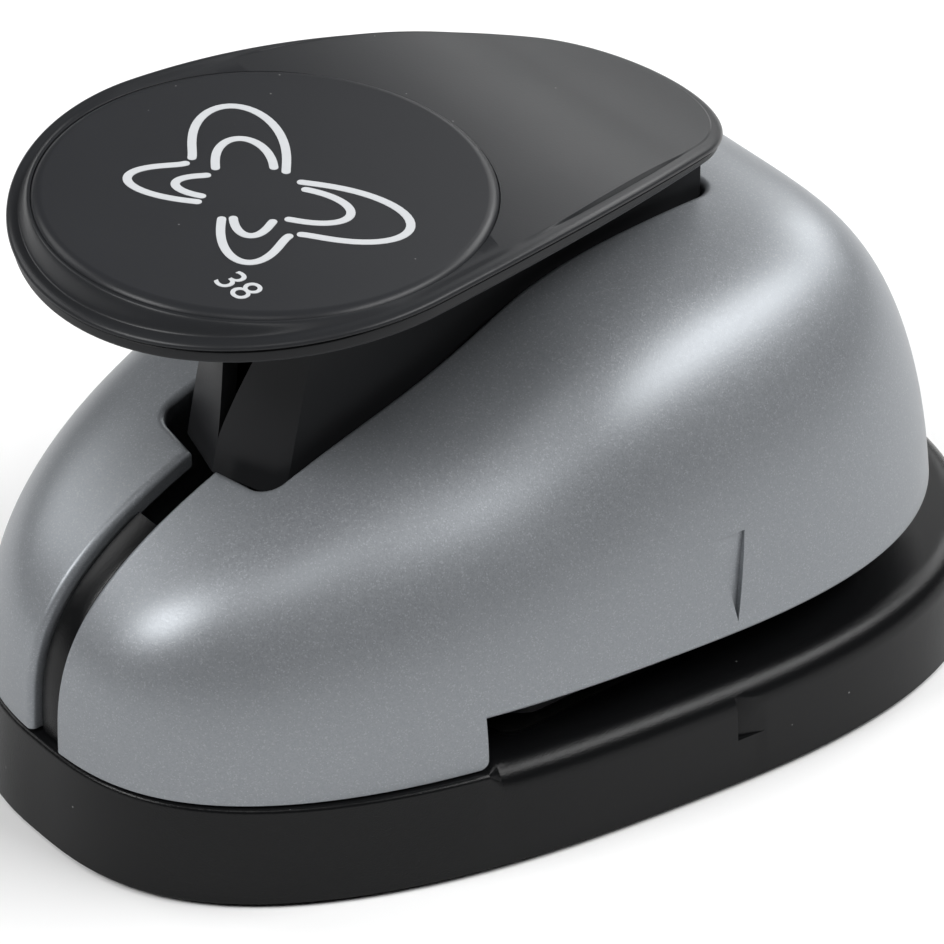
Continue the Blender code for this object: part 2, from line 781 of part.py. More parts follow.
# Guide posts, their clips and the return springs
def make_posts(steel):
    thin = post_radius - post_groove_depth
    foot = flange_top - post_socket_depth + seat_gap
    groove_low = head_top + seat_gap
    groove_high = groove_low + clip_thickness + seat_gap * 2
    top = groove_high + post_tail
    profile = [(0, foot), (post_radius, foot), (post_radius, groove_low), (thin, groove_low),
               (thin, groove_high), (post_radius, groove_high), (post_radius, top - post_tail / 2),
               (thin, top), (0, top)]
    post = mesh_from("guide_post", turned(profile), steel)
    clip = mesh_from("post_clip", open_ring(thin + seat_gap, clip_rim, clip_thickness), steel)
    for name, side in sides.items():
        add(f"guide_post_{name}", post, (side * post_x, motif_y, 0))
        add(f"post_clip_{name}", clip, (side * post_x, motif_y, groove_low + seat_gap))


def spring_points():
    low = flange_top + seat_gap + spring_wire_radius
    high = head_bottom - seat_gap - spring_wire_radius
    count = spring_turns * spring_points_per_turn
    points = []
    for k in range(count + 1):
        angle = tau * k / spring_points_per_turn
        points.append(Vector((spring_coil_radius * cos(angle), spring_coil_radius * sin(angle),
                              low + (high - low) * k / count)))
    return points


def make_springs(steel):
    points = spring_points()
    curve = bpy.data.curves.new("return_spring", "CURVE")
    curve.dimensions = "3D"
    curve.bevel_depth = spring_wire_radius
    curve.bevel_resolution = 1
    curve.use_fill_caps = True
    spline = curve.splines.new("POLY")
    spline.points.add(len(points) - 1)
    for spot, point in zip(spline.points, points):
        spot.co = (*point, 1.0)
    curve.materials.append(steel)
    for name, side in sides.items():
        add(f"return_spring_{name}", curve, (side * post_x, motif_y, 0))
    far_pairs = [(a, b) for i, a in enumerate(points) for b in points[i + spring_points_per_turn // 2:]]
    least = min((a - b).length for a, b in far_pairs) - 2 * spring_wire_radius
    print("Least gap between the turns of a return spring:", round(least / mm, 2), "mm")


# Shell surface: a crown line along Y, carried out to the plan outline by one section rule
def shell_reach(y, skin):
    return (shell_front_length if y < 0 else shell_rear_length) - skin


def shell_plan(k, steps, skin):
    angle = tau * k / steps - pi / 2
    taper = shell_taper_share / shell_front_length
    return squircle(angle, shell_half_width - skin, shell_reach(sin(angle), skin), taper, shell_power_share)


def shell_half_width_at(y, skin):
    along = min(abs(y) / shell_reach(y, skin), 1)
    flare = (shell_half_width - skin) * (1 + shell_taper_share * y / shell_front_length)
    return flare * (1 - along ** shell_power_share) ** (1 / shell_power_share)


def shell_crown_rise(y, skin):
    blend = (1 + tanh((y - shell_step_y) / shell_step_length)) / 2
    rise = shell_front_height + (shell_rear_height - shell_front_height) * blend - skin
    spread, lift = front_profile_share if y < 0 else rear_profile_share
    return rise * (1 - min(abs(y) / shell_reach(y, skin), 1) ** spread) ** (1 / lift)


def shell_top(x, y, skin=0.0):
    width = shell_half_width_at(y, skin)
    spread, lift = section_share
    out = min(abs(x) / width, 1) if width > 0 else 1
    return shell_foot + shell_crown_rise(y, skin) * (1 - out ** spread) ** (1 / lift)


def shell_side(y, z):
    spread, lift = section_share
    up = min((z - shell_foot) / shell_crown_rise(y, 0.0), 1)
    return shell_half_width_at(y, 0.0) * (1 - up ** lift) ** (1 / spread)


def shell_rings(skin, around, steps):
    rings = []
    for step in range(steps):
        share = cos(step / steps * pi / 2) ** (2 / shell_power_share)
        plan = [shell_plan(k, around, skin) for k in range(around)]
        rings.append([(x * share, y * share, shell_top(x * share, y * share, skin) if step else shell_foot)
                      for x, y in plan])
    return rings


def nose_line(end_y, skin, steps=16):
    # the middle line of the shell's nose, from its foot back to end_y
    reach = shell_front_length - skin
    last = acos((-end_y / reach) ** (shell_power_share / 2))
    line = []
    for k in range(steps + 1):
        y = -reach * cos(last * k / steps) ** (2 / shell_power_share)
        line.append((y, shell_top(0, y, skin) if k else shell_foot))
    return line


def sweep_nose(section, end_y, start_below=0.0):
    lines = {skin: nose_line(end_y, skin) for x, skin in section}
    count = len(lines[section[0][1]])
    rings = [[(x, *lines[skin][k]) for x, skin in section] for k in range(count)]
    if start_below:
        rings.insert(0, [(x, y, z - start_below) for x, y, z in rings[0]])
    return loft(rings)


def roof_outline(grow):
    half = roof_opening_half_width
    outline = box(-half, half, roof_opening_front, roof_opening_rear)
    outline = divide(fillet(outline, roof_opening_radius, 4), outline_step)
    outline = [(x, y - roof_opening_peak * (1 - abs(x) / half) if y < 0 else y) for x, y in outline]
    return inset(outline, -grow) if grow else outline


def edge_arc(steps=3):
    # how far a rounded edge stands out at the surface, and its depth there, down to the plain hole
    return [(edge_round * (1 - sin(k / steps * pi / 2)), edge_round * (1 - cos(k / steps * pi / 2)))
            for k in range(steps + 1)]


def roof_cutter():
    rings = [[(x, y, shell_top(x, y, depth)) for x, y in roof_outline(grow)] for grow, depth in edge_arc()]
    rings.insert(0, [(x, y, shell_crown + overrun) for x, y, z in rings[0]])
    rings.append([(x, y, shell_foot + shell_front_height / 2) for x, y, z in rings[-1]])
    return loft(rings)


def nose_cutter():
    # the slot with its rounded edges, and behind it the pocket for the strip's flange
    profile = [(nose_slot_half_width + edge_round, -overrun)]
    profile += [(nose_slot_half_width + grow, depth) for grow, depth in edge_arc()]
    pocket = strip_flange_half_width + seat_gap
    profile += [(nose_slot_half_width, shell_wall), (pocket, shell_wall),
                (pocket, shell_wall + strip_flange_thickness + seat_gap * 2)]
    section = profile + [(-x, skin) for x, skin in reversed(profile)]
    return sweep_nose(section, roof_opening_front + overrun, overrun)


def arrow_cutter(side):
    # a wedge that is shallow at its top and deep at its tip
    tip = slot_top + arrow_lift
    high = tip + arrow_height
    corners = [(motif_y - arrow_half_width, high), (motif_y + arrow_half_width, high), (motif_y, tip)]
    inner = [(side * (shell_side(y, z) - arrow_depth * share), y, z)
             for (y, z), share in zip(corners, arrow_depth_share)]
    outer = [(side * (shell_side(y, z) + overrun), y, z) for y, z in corners]
    return loft([inner, outer])


def paper_slot_cutter(steps=4):
    # the slot's profile in (y, z), with a rounded corner where the shell comes down in front of it
    front = slot_front - slot_corner_radius
    arc = [(slot_front - slot_corner_radius * (1 - cos(k / steps * pi / 2)),
            shell_foot + slot_corner_radius * (1 - sin(k / steps * pi / 2))) for k in range(steps + 1)]
    rear = base_half_length + overrun
    outline = [(slot_front, slot_top), *arc, (front, shell_foot - overrun), (rear, shell_foot - overrun),
               (rear, slot_top)]
    wide = base_half_length
    return prism(outline, -wide, wide, along_x)


def make_shell(material):
    shell = add("top_shell", mesh_from("top_shell", loft(shell_rings(0.0, 60, 10), ladder=True), material))
    rings = shell_rings(shell_wall, 40, 7)
    cavity = tool(loft([[(x, y, z - overrun) for x, y, z in rings[0]], *rings], ladder=True))
    paper_slot = tool(paper_slot_cutter())
    cut(cavity, *(tool(rod(shell_boss_radius, 0, lever_level), (x, y, 0)) for x, y in shell_screw_places))
    for x, y in rear_screw_places:
        boss = tool(rod(shell_boss_radius, flange_top + seat_gap, lever_level), (x, y, 0))
        cut(cavity, boss)
        cut(paper_slot, boss)
    cut(shell, cavity, paper_slot, tool(roof_cutter()), tool(nose_cutter()), tool(arrow_cutter(-1)),
        tool(arrow_cutter(1)))
    for x, y in shell_screw_places:
        pilot = rod(screw_hole_radius, shell_foot - overrun, shell_foot + shell_screw_reach + seat_gap)
        cut(shell, tool(pilot, (x, y, 0)))
    for x, y in rear_screw_places:
        pilot = rod(screw_hole_radius, flange_top, flange_top + rear_screw_reach + seat_gap)
        cut(shell, tool(pilot, (x, y, 0)))


def make_front_strip(material):
    face = nose_slot_half_width - seat_gap
    behind = shell_wall + seat_gap
    half = [(face, strip_recess), (face, behind), (strip_flange_half_width, behind),
            (strip_flange_half_width, behind + strip_flange_thickness)]
    section = half + [(-x, skin) for x, skin in reversed(half)]
    add("front_strip", mesh_from("front_strip", sweep_nose(section, strip_end), material))


# Lever outline: the pad's arc, two flank arcs that touch it from outside, and the tail's arc
def lever_outline(distance):
    to_pad = flank_radius - pad_radius
    to_tail = flank_radius - tail_radius
    middle = (to_pad ** 2 - to_tail ** 2 + tail_y ** 2 - pad_y ** 2) / (2 * (tail_y - pad_y))
    reach = sqrt(to_pad ** 2 - (middle - pad_y) ** 2)
    pad_turn = atan2(pad_y - middle, reach)
    tail_turn = atan2(tail_y - middle, reach)
    arcs = ((0, pad_y, pad_radius, -pi / 2, pad_turn, 14),
            (-reach, middle, flank_radius, pad_turn, tail_turn, 8),
            (0, tail_y, tail_radius, tail_turn, pi / 2, 7))
    right = []
    for x, y, radius, start, end, steps in arcs:
        for k in range(steps):
            angle = start + (end - start) * k / steps
            right.append((x + (radius - distance) * cos(angle), y + (radius - distance) * sin(angle)))
    right[0] = (0, pad_y - pad_radius + distance)
    right.append((0, tail_y + tail_radius - distance))
    return right + [(-x, y) for x, y in right[-2:0:-1]]


def bend_drop(run, radius):
    return radius - sqrt(radius ** 2 - run ** 2)


def rim_drop(y, radius=rim_bend_radius):
    # the seam and the underside are arcs along the lever, highest at rim_apex_y
    return bend_drop(y - rim_apex_y, radius)


def top_line(y):
    # the top tilts a little with the disc, and behind it bends down to the tail
    drop = (y - pad_y) * top_slope_share + bend_drop(max(y - top_bend_y, 0), top_bend_radius)
    return lever_level + cover_top_rise - drop


def rim_ring(distance, level, radius=rim_bend_radius):
    return [(x, y, level - rim_drop(y, radius)) for x, y in lever_outline(distance)]


def top_ring():
    # close to the outline round the disc, and further in towards the tail
    ring = []
    for (ax, ay), (bx, by) in zip(lever_outline(cover_pad_inset), lever_outline(cover_tail_inset)):
        along = min(max((ay - widening_y) / cover_widening_length, 0), 1)
        share = along ** 2 * (3 - 2 * along)
        y = ay + (by - ay) * share
        ring.append((ax + (bx - ax) * share, y, top_line(y)))
    return ring


def web_outline(wall, rear, stations=9):
    # plan of the web at its foot: a blunt point in front and straight sides
    corner = web_bottom_half_width - wall
    start = web_front + web_front_peak + wall
    first = start + web_front_radius
    right = [(0, web_front + wall), (corner - web_front_radius, start)]
    right += [(corner, first + (rear - first) * k / stations) for k in range(stations + 1)]
    return right + [(-x, y) for x, y in right[:0:-1]]


def web_loft(wall, rear, floor, top_rise, steps=4):
    hub_start = motif_y + nose_radius
    rings = []
    for k in range(steps + 1):
        ring = []
        for x, y in web_outline(wall, rear):
            behind = max(y - hub_start, 0) / (pivot_y - hub_start)
            low = web_bottom + floor + behind * (pivot_z - hub_radius - web_bottom)
            high = lip_top - lip_plate_thickness / 4 + top_rise - rim_drop(y)
            z = low + (high - low) * k / steps
            up = z - web_bottom
            widen = 1 + web_side_slope_share * up / (web_bottom_half_width - wall)
            lean = web_front_slope_share * up * (rear - y) / (rear - web_front)
            ring.append((x * widen, y + lean, z))
        rings.append(ring)
    return loft(rings, ladder=True)


def vee_outline(steps=7):
    # the notch in the web's front wall, which widens as it goes up and stops just inside the side walls
    low = web_bottom + vee_lift
    right = [(0, low)]
    for k in range(1, steps + 1):
        up = vee_top * k / steps
        side_wall = web_bottom_half_width - web_wall + web_side_slope_share * (up + vee_lift)
        opened = vee_half_width * (up / vee_height) ** vee_power_share
        right.append((min(opened, side_wall - vee_return), low + up))
    return right + [(-x, z) for x, z in right[:0:-1]]


def make_lever_body(material):
    soft, edge = lip_plate_round, lip_plate_inset
    underside = [rim_ring(distance, level, underside_bend_radius) for distance, level in (
        (edge + soft, lip_bottom), (edge + soft / 4, lip_bottom + soft / 4), (edge, lip_bottom + soft))]
    plate = loft([*underside, rim_ring(edge, lip_top)], ladder=True)
    body = add("lever_body", mesh_from("lever_body", plate, material))
    turn = (0, pi / 2, 0)
    nose = rod(nose_radius, -nose_half_width, nose_half_width, 24)
    join(body, tool(web_loft(0.0, web_rear, 0.0, 0.0)),
         tool(rod(hub_radius, -hub_half_width, hub_half_width, 24), (0, pivot_y, pivot_z), turn),
         tool(nose, (0, motif_y, nose_bottom + nose_radius), turn))
    for step in (0, 1):
        y = pad_y + (step + 1 / 2) * pad_rib_pitch
        top = lip_bottom - rim_drop(y, underside_bend_radius) + lip_plate_thickness / 2
        rib = box(y - rib_thickness / 2, y + rib_thickness / 2, top - pad_rib_depth, top)
        join(body, tool(prism(rib, -pad_rib_reach, pad_rib_reach, along_x)))
    cavity = web_loft(web_wall, pivot_y - web_cavity_setback, web_floor, lip_plate_thickness + overrun)
    cut(body, tool(cavity))
    cut(body, tool(tilted_disc(disc_seat_radius + seat_gap, disc_seat_level - seat_gap, lever_level)))
    deep = web_front + web_front_slope_share * vee_top + web_front_peak + web_wall + overrun
    cut(body, tool(prism(vee_outline(), web_front - overrun, deep, along_y)))
    reach = hub_half_width + overrun
    cut(body, tool(rod(pin_radius + seat_gap, -reach, reach, 20), (0, pivot_y, pivot_z), turn))
    return body


def tilted_disc(radius, bottom, top, steps=56):
    rings = []
    for level in (bottom, top):
        rings.append([(x, pad_y + y, level - y * top_slope_share) for x, y in circle(radius, steps)])
    return loft(rings)


def make_lever_cover(material, arc_steps=4):
    side_top = seam_level + cover_side_height
    edge = [(0, seam_level)]
    for k in range(arc_steps + 1):
        angle = k / arc_steps * pi / 2
        edge.append((cover_edge_width * (1 - cos(angle)), side_top + cover_edge_rise * sin(angle)))
    edge.append((cover_edge_width + cover_ledge, side_top + cover_edge_rise))
    rings = [rim_ring(distance, level) for distance, level in edge]
    cover = add("lever_cover", mesh_from("lever_cover", loft([*rings, top_ring()], ladder=True), material))
    join(cover, tool(tilted_disc(disc_seat_radius, disc_seat_level, disc_recess_level)))
    cut(cover, tool(tilted_disc(disc_recess_radius, disc_recess_level, lever_level + overrun)))
    return cover


def make_pad_disc(material):
    disc = tilted_disc(disc_radius, lever_level - disc_thickness, lever_level)
    return add("pad_disc", mesh_from("pad_disc", disc, material))


def main():
    clear_scene()
    black = finish("black_plastic", (0.02, 0.021, 0.022), 0.5, 0.0)
    lever_black = finish("lever_plastic", (0.05, 0.051, 0.054), 0.45, 0.0)
    silver = finish("silver_paint", (0.33, 0.35, 0.37), 0.42, 0.35)
    pad_grey = finish("pad_print", (0.055, 0.056, 0.06), 0.5, 0.0)
    steel = finish("steel", (0.55, 0.55, 0.55), 0.3, 1.0)
    zinc = finish("cast_zinc", (0.42, 0.42, 0.43), 0.45, 1.0)
    acetal = finish("white_plastic", (0.75, 0.75, 0.73), 0.4, 0.0)

    make_base(black)
    make_shell(silver)
    make_front_strip(black)
    make_die_plate(steel)
    make_punch_frame(zinc)
    make_screws(steel)
    make_posts(steel)
    make_springs(steel)
    make_hinge(steel, acetal)
    plunger = make_plunger(steel, zinc, acetal)
    lever = [make_lever_body(lever_black), make_lever_cover(lever_black), make_pad_disc(pad_grey)]
    apply_booleans()

    hang(add("punch_slide", None, (0, motif_y, head_bottom)), *plunger)
    hang(add("lever_hinge", None, (0, pivot_y, pivot_z)), *lever)


main()
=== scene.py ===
# Looks for the lever craft punch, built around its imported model
import json
from math import acos, atan2, cos, exp, hypot, log, pi, radians, sin, sqrt, tan, tanh, tau

import bmesh
import bpy
from mathutils import Euler, Matrix, Vector


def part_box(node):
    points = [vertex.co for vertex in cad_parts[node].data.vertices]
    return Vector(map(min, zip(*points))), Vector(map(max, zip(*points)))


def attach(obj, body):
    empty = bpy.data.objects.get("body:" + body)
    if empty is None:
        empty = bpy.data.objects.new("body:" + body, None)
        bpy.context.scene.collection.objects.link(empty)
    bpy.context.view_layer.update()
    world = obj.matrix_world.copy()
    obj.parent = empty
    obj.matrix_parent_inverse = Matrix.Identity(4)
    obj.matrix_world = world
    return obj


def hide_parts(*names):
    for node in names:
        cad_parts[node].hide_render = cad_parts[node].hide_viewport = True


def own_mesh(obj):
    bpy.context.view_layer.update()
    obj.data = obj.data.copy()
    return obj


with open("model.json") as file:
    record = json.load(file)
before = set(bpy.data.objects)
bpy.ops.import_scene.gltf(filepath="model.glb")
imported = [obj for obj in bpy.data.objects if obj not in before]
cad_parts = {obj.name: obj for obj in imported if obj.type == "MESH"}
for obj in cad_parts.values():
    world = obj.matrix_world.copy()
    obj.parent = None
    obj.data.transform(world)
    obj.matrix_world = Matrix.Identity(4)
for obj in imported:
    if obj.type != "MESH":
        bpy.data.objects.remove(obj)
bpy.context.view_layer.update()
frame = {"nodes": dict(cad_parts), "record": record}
print("Frame loaded:", len(frame["nodes"]), "nodes")

mm = 0.001  # every size below is in millimetres, and meshes are made in metres
over = 3.0  # how far a cutter runs past what it cuts
seatGap = 0.3  # room left between two pieces
weld = 0.003  # points closer than this become one
sharpAngle = radians(32)  # an edge that turns by more than this is shaded sharp


# Camera, in millimetres and degrees
view = {
    "target": (4.89, -2.90, 25.0),
    "azimuth": 50.987,
    "elevation": 35.24,
    "roll": 0.304,
    "distance": 655.8,
    "lens": 248.65,
    "sensor": 36.0,
}


def heading(azimuth, elevation):
    # azimuth 0 is in front of the pad, and grows towards +X
    return Vector((sin(azimuth) * cos(elevation), -cos(azimuth) * cos(elevation), sin(elevation)))


def addCamera():
    turn, lift, roll = (radians(view[key]) for key in ("azimuth", "elevation", "roll"))
    back = heading(turn, lift)
    side = Vector((cos(turn), sin(turn), 0))
    up = back.cross(side)
    rolledSide = side * cos(roll) + up * sin(roll)
    rolledUp = up * cos(roll) - side * sin(roll)
    place = Vector(view["target"]) + back * view["distance"]
    data = bpy.data.cameras.new("camera")
    data.lens = view["lens"]
    data.sensor_width = view["sensor"]
    camera = bpy.data.objects.new("camera", data)
    facing = Matrix((rolledSide, rolledUp, back)).transposed().to_4x4()
    camera.matrix_world = Matrix.Translation(place * mm) @ facing
    bpy.context.scene.collection.objects.link(camera)
    bpy.context.scene.camera = camera


# Light, floor and background
studio = {
    "ambient": 0.27,
    "lamps": (
        # name, azimuth and elevation (degrees), distance (mm), size (mm), watts
        ("frontBox", -12, 42, 900, (340, 220), 4.2),
        ("topBox", 45, 60, 900, (300, 300), 1.0),
        ("rightBox", 130, 51, 900, (740, 240), 6.4),
        ("backBox", -176, 34, 1000, (560, 320), 3.2),
        ("farBox", -152, 26, 1000, (640, 520), 2.2),
        ("leftBox", -66, 33, 900, (420, 380), 1.7),
    ),
    "aim": (0, 0, 30),
    "floorHalf": 4000,
    "floorZ": -0.05,
    "floorShades": (0.90, 0.93),
    "floorCloud": 120.0,
    "floorRoughness": 0.9,
    "floorSpecular": 0.1,
}


def addStudio():
    scene = bpy.context.scene
    scene.view_settings.view_transform = "Standard"
    for name, azimuth, elevation, distance, size, watts in studio["lamps"]:
        data = bpy.data.lights.new(name, "AREA")
        data.shape = "RECTANGLE"
        data.size, data.size_y = (value * mm for value in size)
        data.energy = watts
        lamp = bpy.data.objects.new(name, data)
        place = heading(radians(azimuth), radians(elevation)) * distance
        lamp.location = place * mm
        lamp.rotation_euler = (place - Vector(studio["aim"])).to_track_quat("Z", "Y").to_euler()
        scene.collection.objects.link(lamp)
    world = bpy.data.worlds.new("studio")
    scene.world = world
    world.use_nodes = True
    nodes = Nodes(world.node_tree)
    camera = nodes.node("ShaderNodeLightPath", output="Is Camera Ray")
    seen = camera + camera.out("Is Glossy Ray") + camera.out("Is Transmission Ray")
    strength = camera.maths("MINIMUM", seen, 1) * (1 - studio["ambient"]) + studio["ambient"]
    nodes.plug(world.node_tree.nodes["Background"].inputs["Strength"], strength)


# Shader maths: a wrapped socket, so that sums on it add their nodes
class Wire:
    def __init__(self, nodes, socket):
        self.nodes = nodes
        self.socket = socket

    def maths(self, operation, *values):
        return self.nodes.node("ShaderNodeMath", {"operation": operation}, dict(enumerate(values)))

    def out(self, name):
        return Wire(self.nodes, self.socket.node.outputs[name])

    def __add__(self, other):
        return self.maths("ADD", self, other)

    def __mul__(self, other):
        return self.maths("MULTIPLY", self, other)

    def __gt__(self, other):
        return self.maths("GREATER_THAN", self, other)

    def __lt__(self, other):
        return self.maths("LESS_THAN", self, other)

    __radd__ = __add__
    __rmul__ = __mul__


class Nodes:
    def __init__(self, tree):
        self.tree = tree

    def plug(self, socket, value):
        if isinstance(value, Wire):
            self.tree.links.new(value.socket, socket)
        elif isinstance(value, tuple) and socket.type == "RGBA":
            socket.default_value = (*value, 1.0)
        else:
            socket.default_value = value

    def node(self, kind, settings=None, inputs=None, output=0):
        made = self.tree.nodes.new(kind)
        for key, value in (settings or {}).items():
            setattr(made, key, value)
        for key, value in (inputs or {}).items():
            self.plug(made.inputs[key], value)
        return Wire(self, made.outputs[output])


class Finish(Nodes):
    def __init__(self, name, colour, roughness, metallic=0.0, specular=0.5):
        self.material = bpy.data.materials.new(name)
        self.material.use_nodes = True
        super().__init__(self.material.node_tree)
        self.shader = self.tree.nodes["Principled BSDF"]
        self.set({"Base Color": colour, "Roughness": roughness, "Metallic": metallic,
                  "Specular IOR Level": specular})
        self.place = self.node("ShaderNodeTexCoord", output="Object")

    def set(self, inputs):
        for key, value in inputs.items():
            self.plug(self.shader.inputs[key], value)

    def noise(self, size, detail=2.0, roughness=0.5):
        # size is the width of a blotch in millimetres
        values = {"Vector": self.place, "Scale": 1 / (size * mm), "Detail": detail, "Roughness": roughness}
        return self.node("ShaderNodeTexNoise", None, values, "Fac")

    def cells(self, size, output="Color"):
        values = {"Vector": self.place, "Scale": 1 / (size * mm)}
        return self.node("ShaderNodeTexVoronoi", None, values, output)

    def blend(self, factor, first, second):
        return self.node("ShaderNodeMix", {"data_type": "RGBA"}, {0: factor, 6: first, 7: second}, 2)

    def bump(self, height, strength, depth):
        values = {"Height": height, "Strength": strength, "Distance": depth * mm}
        return self.node("ShaderNodeBump", None, values)

    def pick(self, size):
        # a random share for each cell, the same all over the cell
        return self.node("ShaderNodeSeparateColor", None, {"Color": self.cells(size)})

    def specks(self, size, radius, share):
        # small specks of dust, one in a share of the cells
        return (self.cells(size, "Distance") < radius / size) * (self.pick(size) < share)


# Outlines and solids, all in millimetres
def boxOf(node):
    return [Vector(corner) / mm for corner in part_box(node)]


def rectangle(lowA, highA, lowB, highB):
    return [(lowA, lowB), (highA, lowB), (highA, highB), (lowA, highB)]


def circle(radius, steps):
    return [(radius * cos(tau * k / steps), radius * sin(tau * k / steps)) for k in range(steps)]


def fillet(points, radius, steps=8):
    outline = []
    for k, point in enumerate(points):
        corner = Vector(point)
        back = (Vector(points[k - 1]) - corner).normalized()
        on = (Vector(points[(k + 1) % len(points)]) - corner).normalized()
        half = back.angle(on) / 2
        centre = corner + (back + on).normalized() * radius / sin(half)
        start = corner + back * radius / tan(half) - centre
        end = corner + on * radius / tan(half) - centre
        sweep = atan2(start.x * end.y - start.y * end.x, start.dot(end))
        for step in range(steps + 1):
            spoke = Matrix.Rotation(sweep * step / steps, 2) @ start
            outline.append((centre.x + spoke.x, centre.y + spoke.y))
    return outline


def divide(outline, longest):
    # an even number of pieces on each long side, so that its middle stays a point
    divided = []
    for (ax, ay), (bx, by) in zip(outline, outline[1:] + outline[:1]):
        pieces = 2 * round(hypot(bx - ax, by - ay) / longest / 2) or 1
        divided += [(ax + (bx - ax) * k / pieces, ay + (by - ay) * k / pieces) for k in range(pieces)]
    return divided


def bothSides(right):
    # the first point is on the middle line, and the last one isn't
    return right + [(-x, y) for x, y in right[:0:-1]]


def edgeArc(radius, steps=8):
    # a quarter round: how far it stands out at the surface, and its depth there, down to the plain side
    angles = [k / steps * pi / 2 for k in range(steps + 1)]
    return [(radius * (1 - sin(angle)), radius * (1 - cos(angle))) for angle in angles]


def inset(outline, distance):
    # the outline runs anticlockwise, so its left side is inside
    moved = []
    for k, (x, y) in enumerate(outline):
        ax, ay = outline[k - 1]
        bx, by = outline[(k + 1) % len(outline)]
        length = hypot(bx - ax, by - ay)
        moved.append((x - (by - ay) / length * distance, y + (bx - ax) / length * distance))
    return moved


def power(value, exponent):
    return abs(value) ** exponent * (1 if value >= 0 else -1)


def smooth(share):
    return share ** 2 * (3 - 2 * share)


def squircle(angle, halfWidth, reach, taper, share):
    # an oval with squared corners, whose width grows by taper along y
    y = reach * power(sin(angle), 2 / share)
    return halfWidth * (1 + taper * y) * power(cos(angle), 2 / share), y


def alongX(a, b, c):
    return c, a, b


def alongY(a, b, c):
    return a, c, b


def alongZ(a, b, c):
    return a, b, c


def prism(outline, start, end, lay=alongZ):
    return loft([[lay(a, b, level) for a, b in outline] for level in (start, end)])


def turned(profile, steps=32):
    # the profile runs from the axis to the axis, as (radius, height)
    shape = bmesh.new()
    chain = [shape.verts.new((radius, 0, height)) for radius, height in profile]
    edges = [shape.edges.new(ends) for ends in zip(chain, chain[1:])]
    bmesh.ops.spin(shape, geom=chain + edges, axis=(0, 0, 1), steps=steps, angle=tau, use_merge=True)
    bmesh.ops.remove_doubles(shape, verts=shape.verts, dist=weld)
    return shape


def rod(radius, start, end, steps=32):
    return turned([(0, start), (radius, start), (radius, end), (0, end)], steps)


def loft(rings, ladder=False):
    shape = bmesh.new()
    loops = [[shape.verts.new(point) for point in ring] for ring in rings]
    for low, high in zip(loops, loops[1:]):
        for k in range(len(low)):
            after = (k + 1) % len(low)
            shape.faces.new((low[k], low[after], high[after], high[k]))
    for loop in (loops[0], loops[-1]):
        if ladder:
            rungs(shape, loop)
        else:
            shape.faces.new(loop)
    return shape


def rungs(shape, loop):
    # faces between mirrored points, for a loop that starts on the middle line
    count = len(loop)
    for k in range(count // 2):
        corners = (loop[k], loop[k + 1], loop[(count - k - 1) % count], loop[(count - k) % count])
        shape.faces.new(dict.fromkeys(corners))


# Pieces
def addPiece(name, shape, place=(0, 0, 0), turn=(0, 0, 0)):
    bmesh.ops.recalc_face_normals(shape, faces=shape.faces)
    bmesh.ops.scale(shape, vec=(mm, mm, mm), verts=shape.verts)
    mesh = bpy.data.meshes.new(name)
    shape.to_mesh(mesh)
    shape.free()
    piece = bpy.data.objects.new(name, mesh)
    piece.matrix_world = Matrix.Translation(Vector(place) * mm) @ Euler(turn).to_matrix().to_4x4()
    bpy.context.scene.collection.objects.link(piece)
    return piece


def tool(shape, place=(0, 0, 0), turn=(0, 0, 0)):
    return addPiece("tool", shape, place, turn)


def posts(radius, low, high, places):
    return [tool(rod(radius, low, high), (x, y, 0)) for x, y in places]


def pair(x, y):
    return [(-x, y), (x, y)]


def combine(piece, operation, tools):
    for item in tools:
        step = piece.modifiers.new(operation.title(), "BOOLEAN")
        step.object = item
        step.operation = operation
        step.solver = "EXACT"
    graph = bpy.context.evaluated_depsgraph_get()
    mesh = bpy.data.meshes.new_from_object(piece.evaluated_get(graph))
    piece.modifiers.clear()
    piece.data = mesh
    for item in tools:
        bpy.data.objects.remove(item)
    return piece


def cut(piece, *tools):
    return combine(piece, "DIFFERENCE", tools)


def join(piece, *tools):
    return combine(piece, "UNION", tools)


def dress(piece, finish, slot, body, *nodes):
    piece.data.materials.clear()
    piece.data.materials.append(finish.material)
    piece.data.shade_smooth()
    piece.data.set_sharp_from_angle(angle=sharpAngle)
    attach(piece, body)
    if nodes:
        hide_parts(*nodes)


# Finishes: sizes in millimetres, and how far each pattern sways the roughness
paint = {
    "base": (0.205, 0.218, 0.234),
    "bright": (0.44, 0.46, 0.48),
    "roughness": 0.40,
    "metallic": 0.46,
    "specular": 0.5,
    "cloud": (9.0, 3.0),
    "cloudShine": 0.06,
    "cloudSway": 0.05,
    "flake": 0.13,
    "flakeShine": 0.16,
    "flakeSway": 0.08,
    "sparkleFrom": 0.93,
    "sparkle": 0.15,
    "grain": (0.30, 1.0),
    "bump": 0.15,
    "bumpDepth": 0.03,
}


def silverPaint():
    made = Finish("silverPaint", paint["base"], paint["roughness"], paint["metallic"], paint["specular"])
    flake = made.pick(paint["flake"])
    cloud = made.noise(*paint["cloud"])
    sparkle = (flake > paint["sparkleFrom"]) * paint["sparkle"]
    shine = sparkle + flake * paint["flakeShine"] + cloud * paint["cloudShine"]
    least = paint["roughness"] - (paint["flakeSway"] + paint["cloudSway"]) / 2
    height = flake + made.noise(*paint["grain"])
    made.set({
        "Base Color": made.blend(shine, paint["base"], paint["bright"]),
        "Roughness": flake * paint["flakeSway"] + cloud * paint["cloudSway"] + least,
        "Normal": made.bump(height, paint["bump"], paint["bumpDepth"]),
    })
    return made


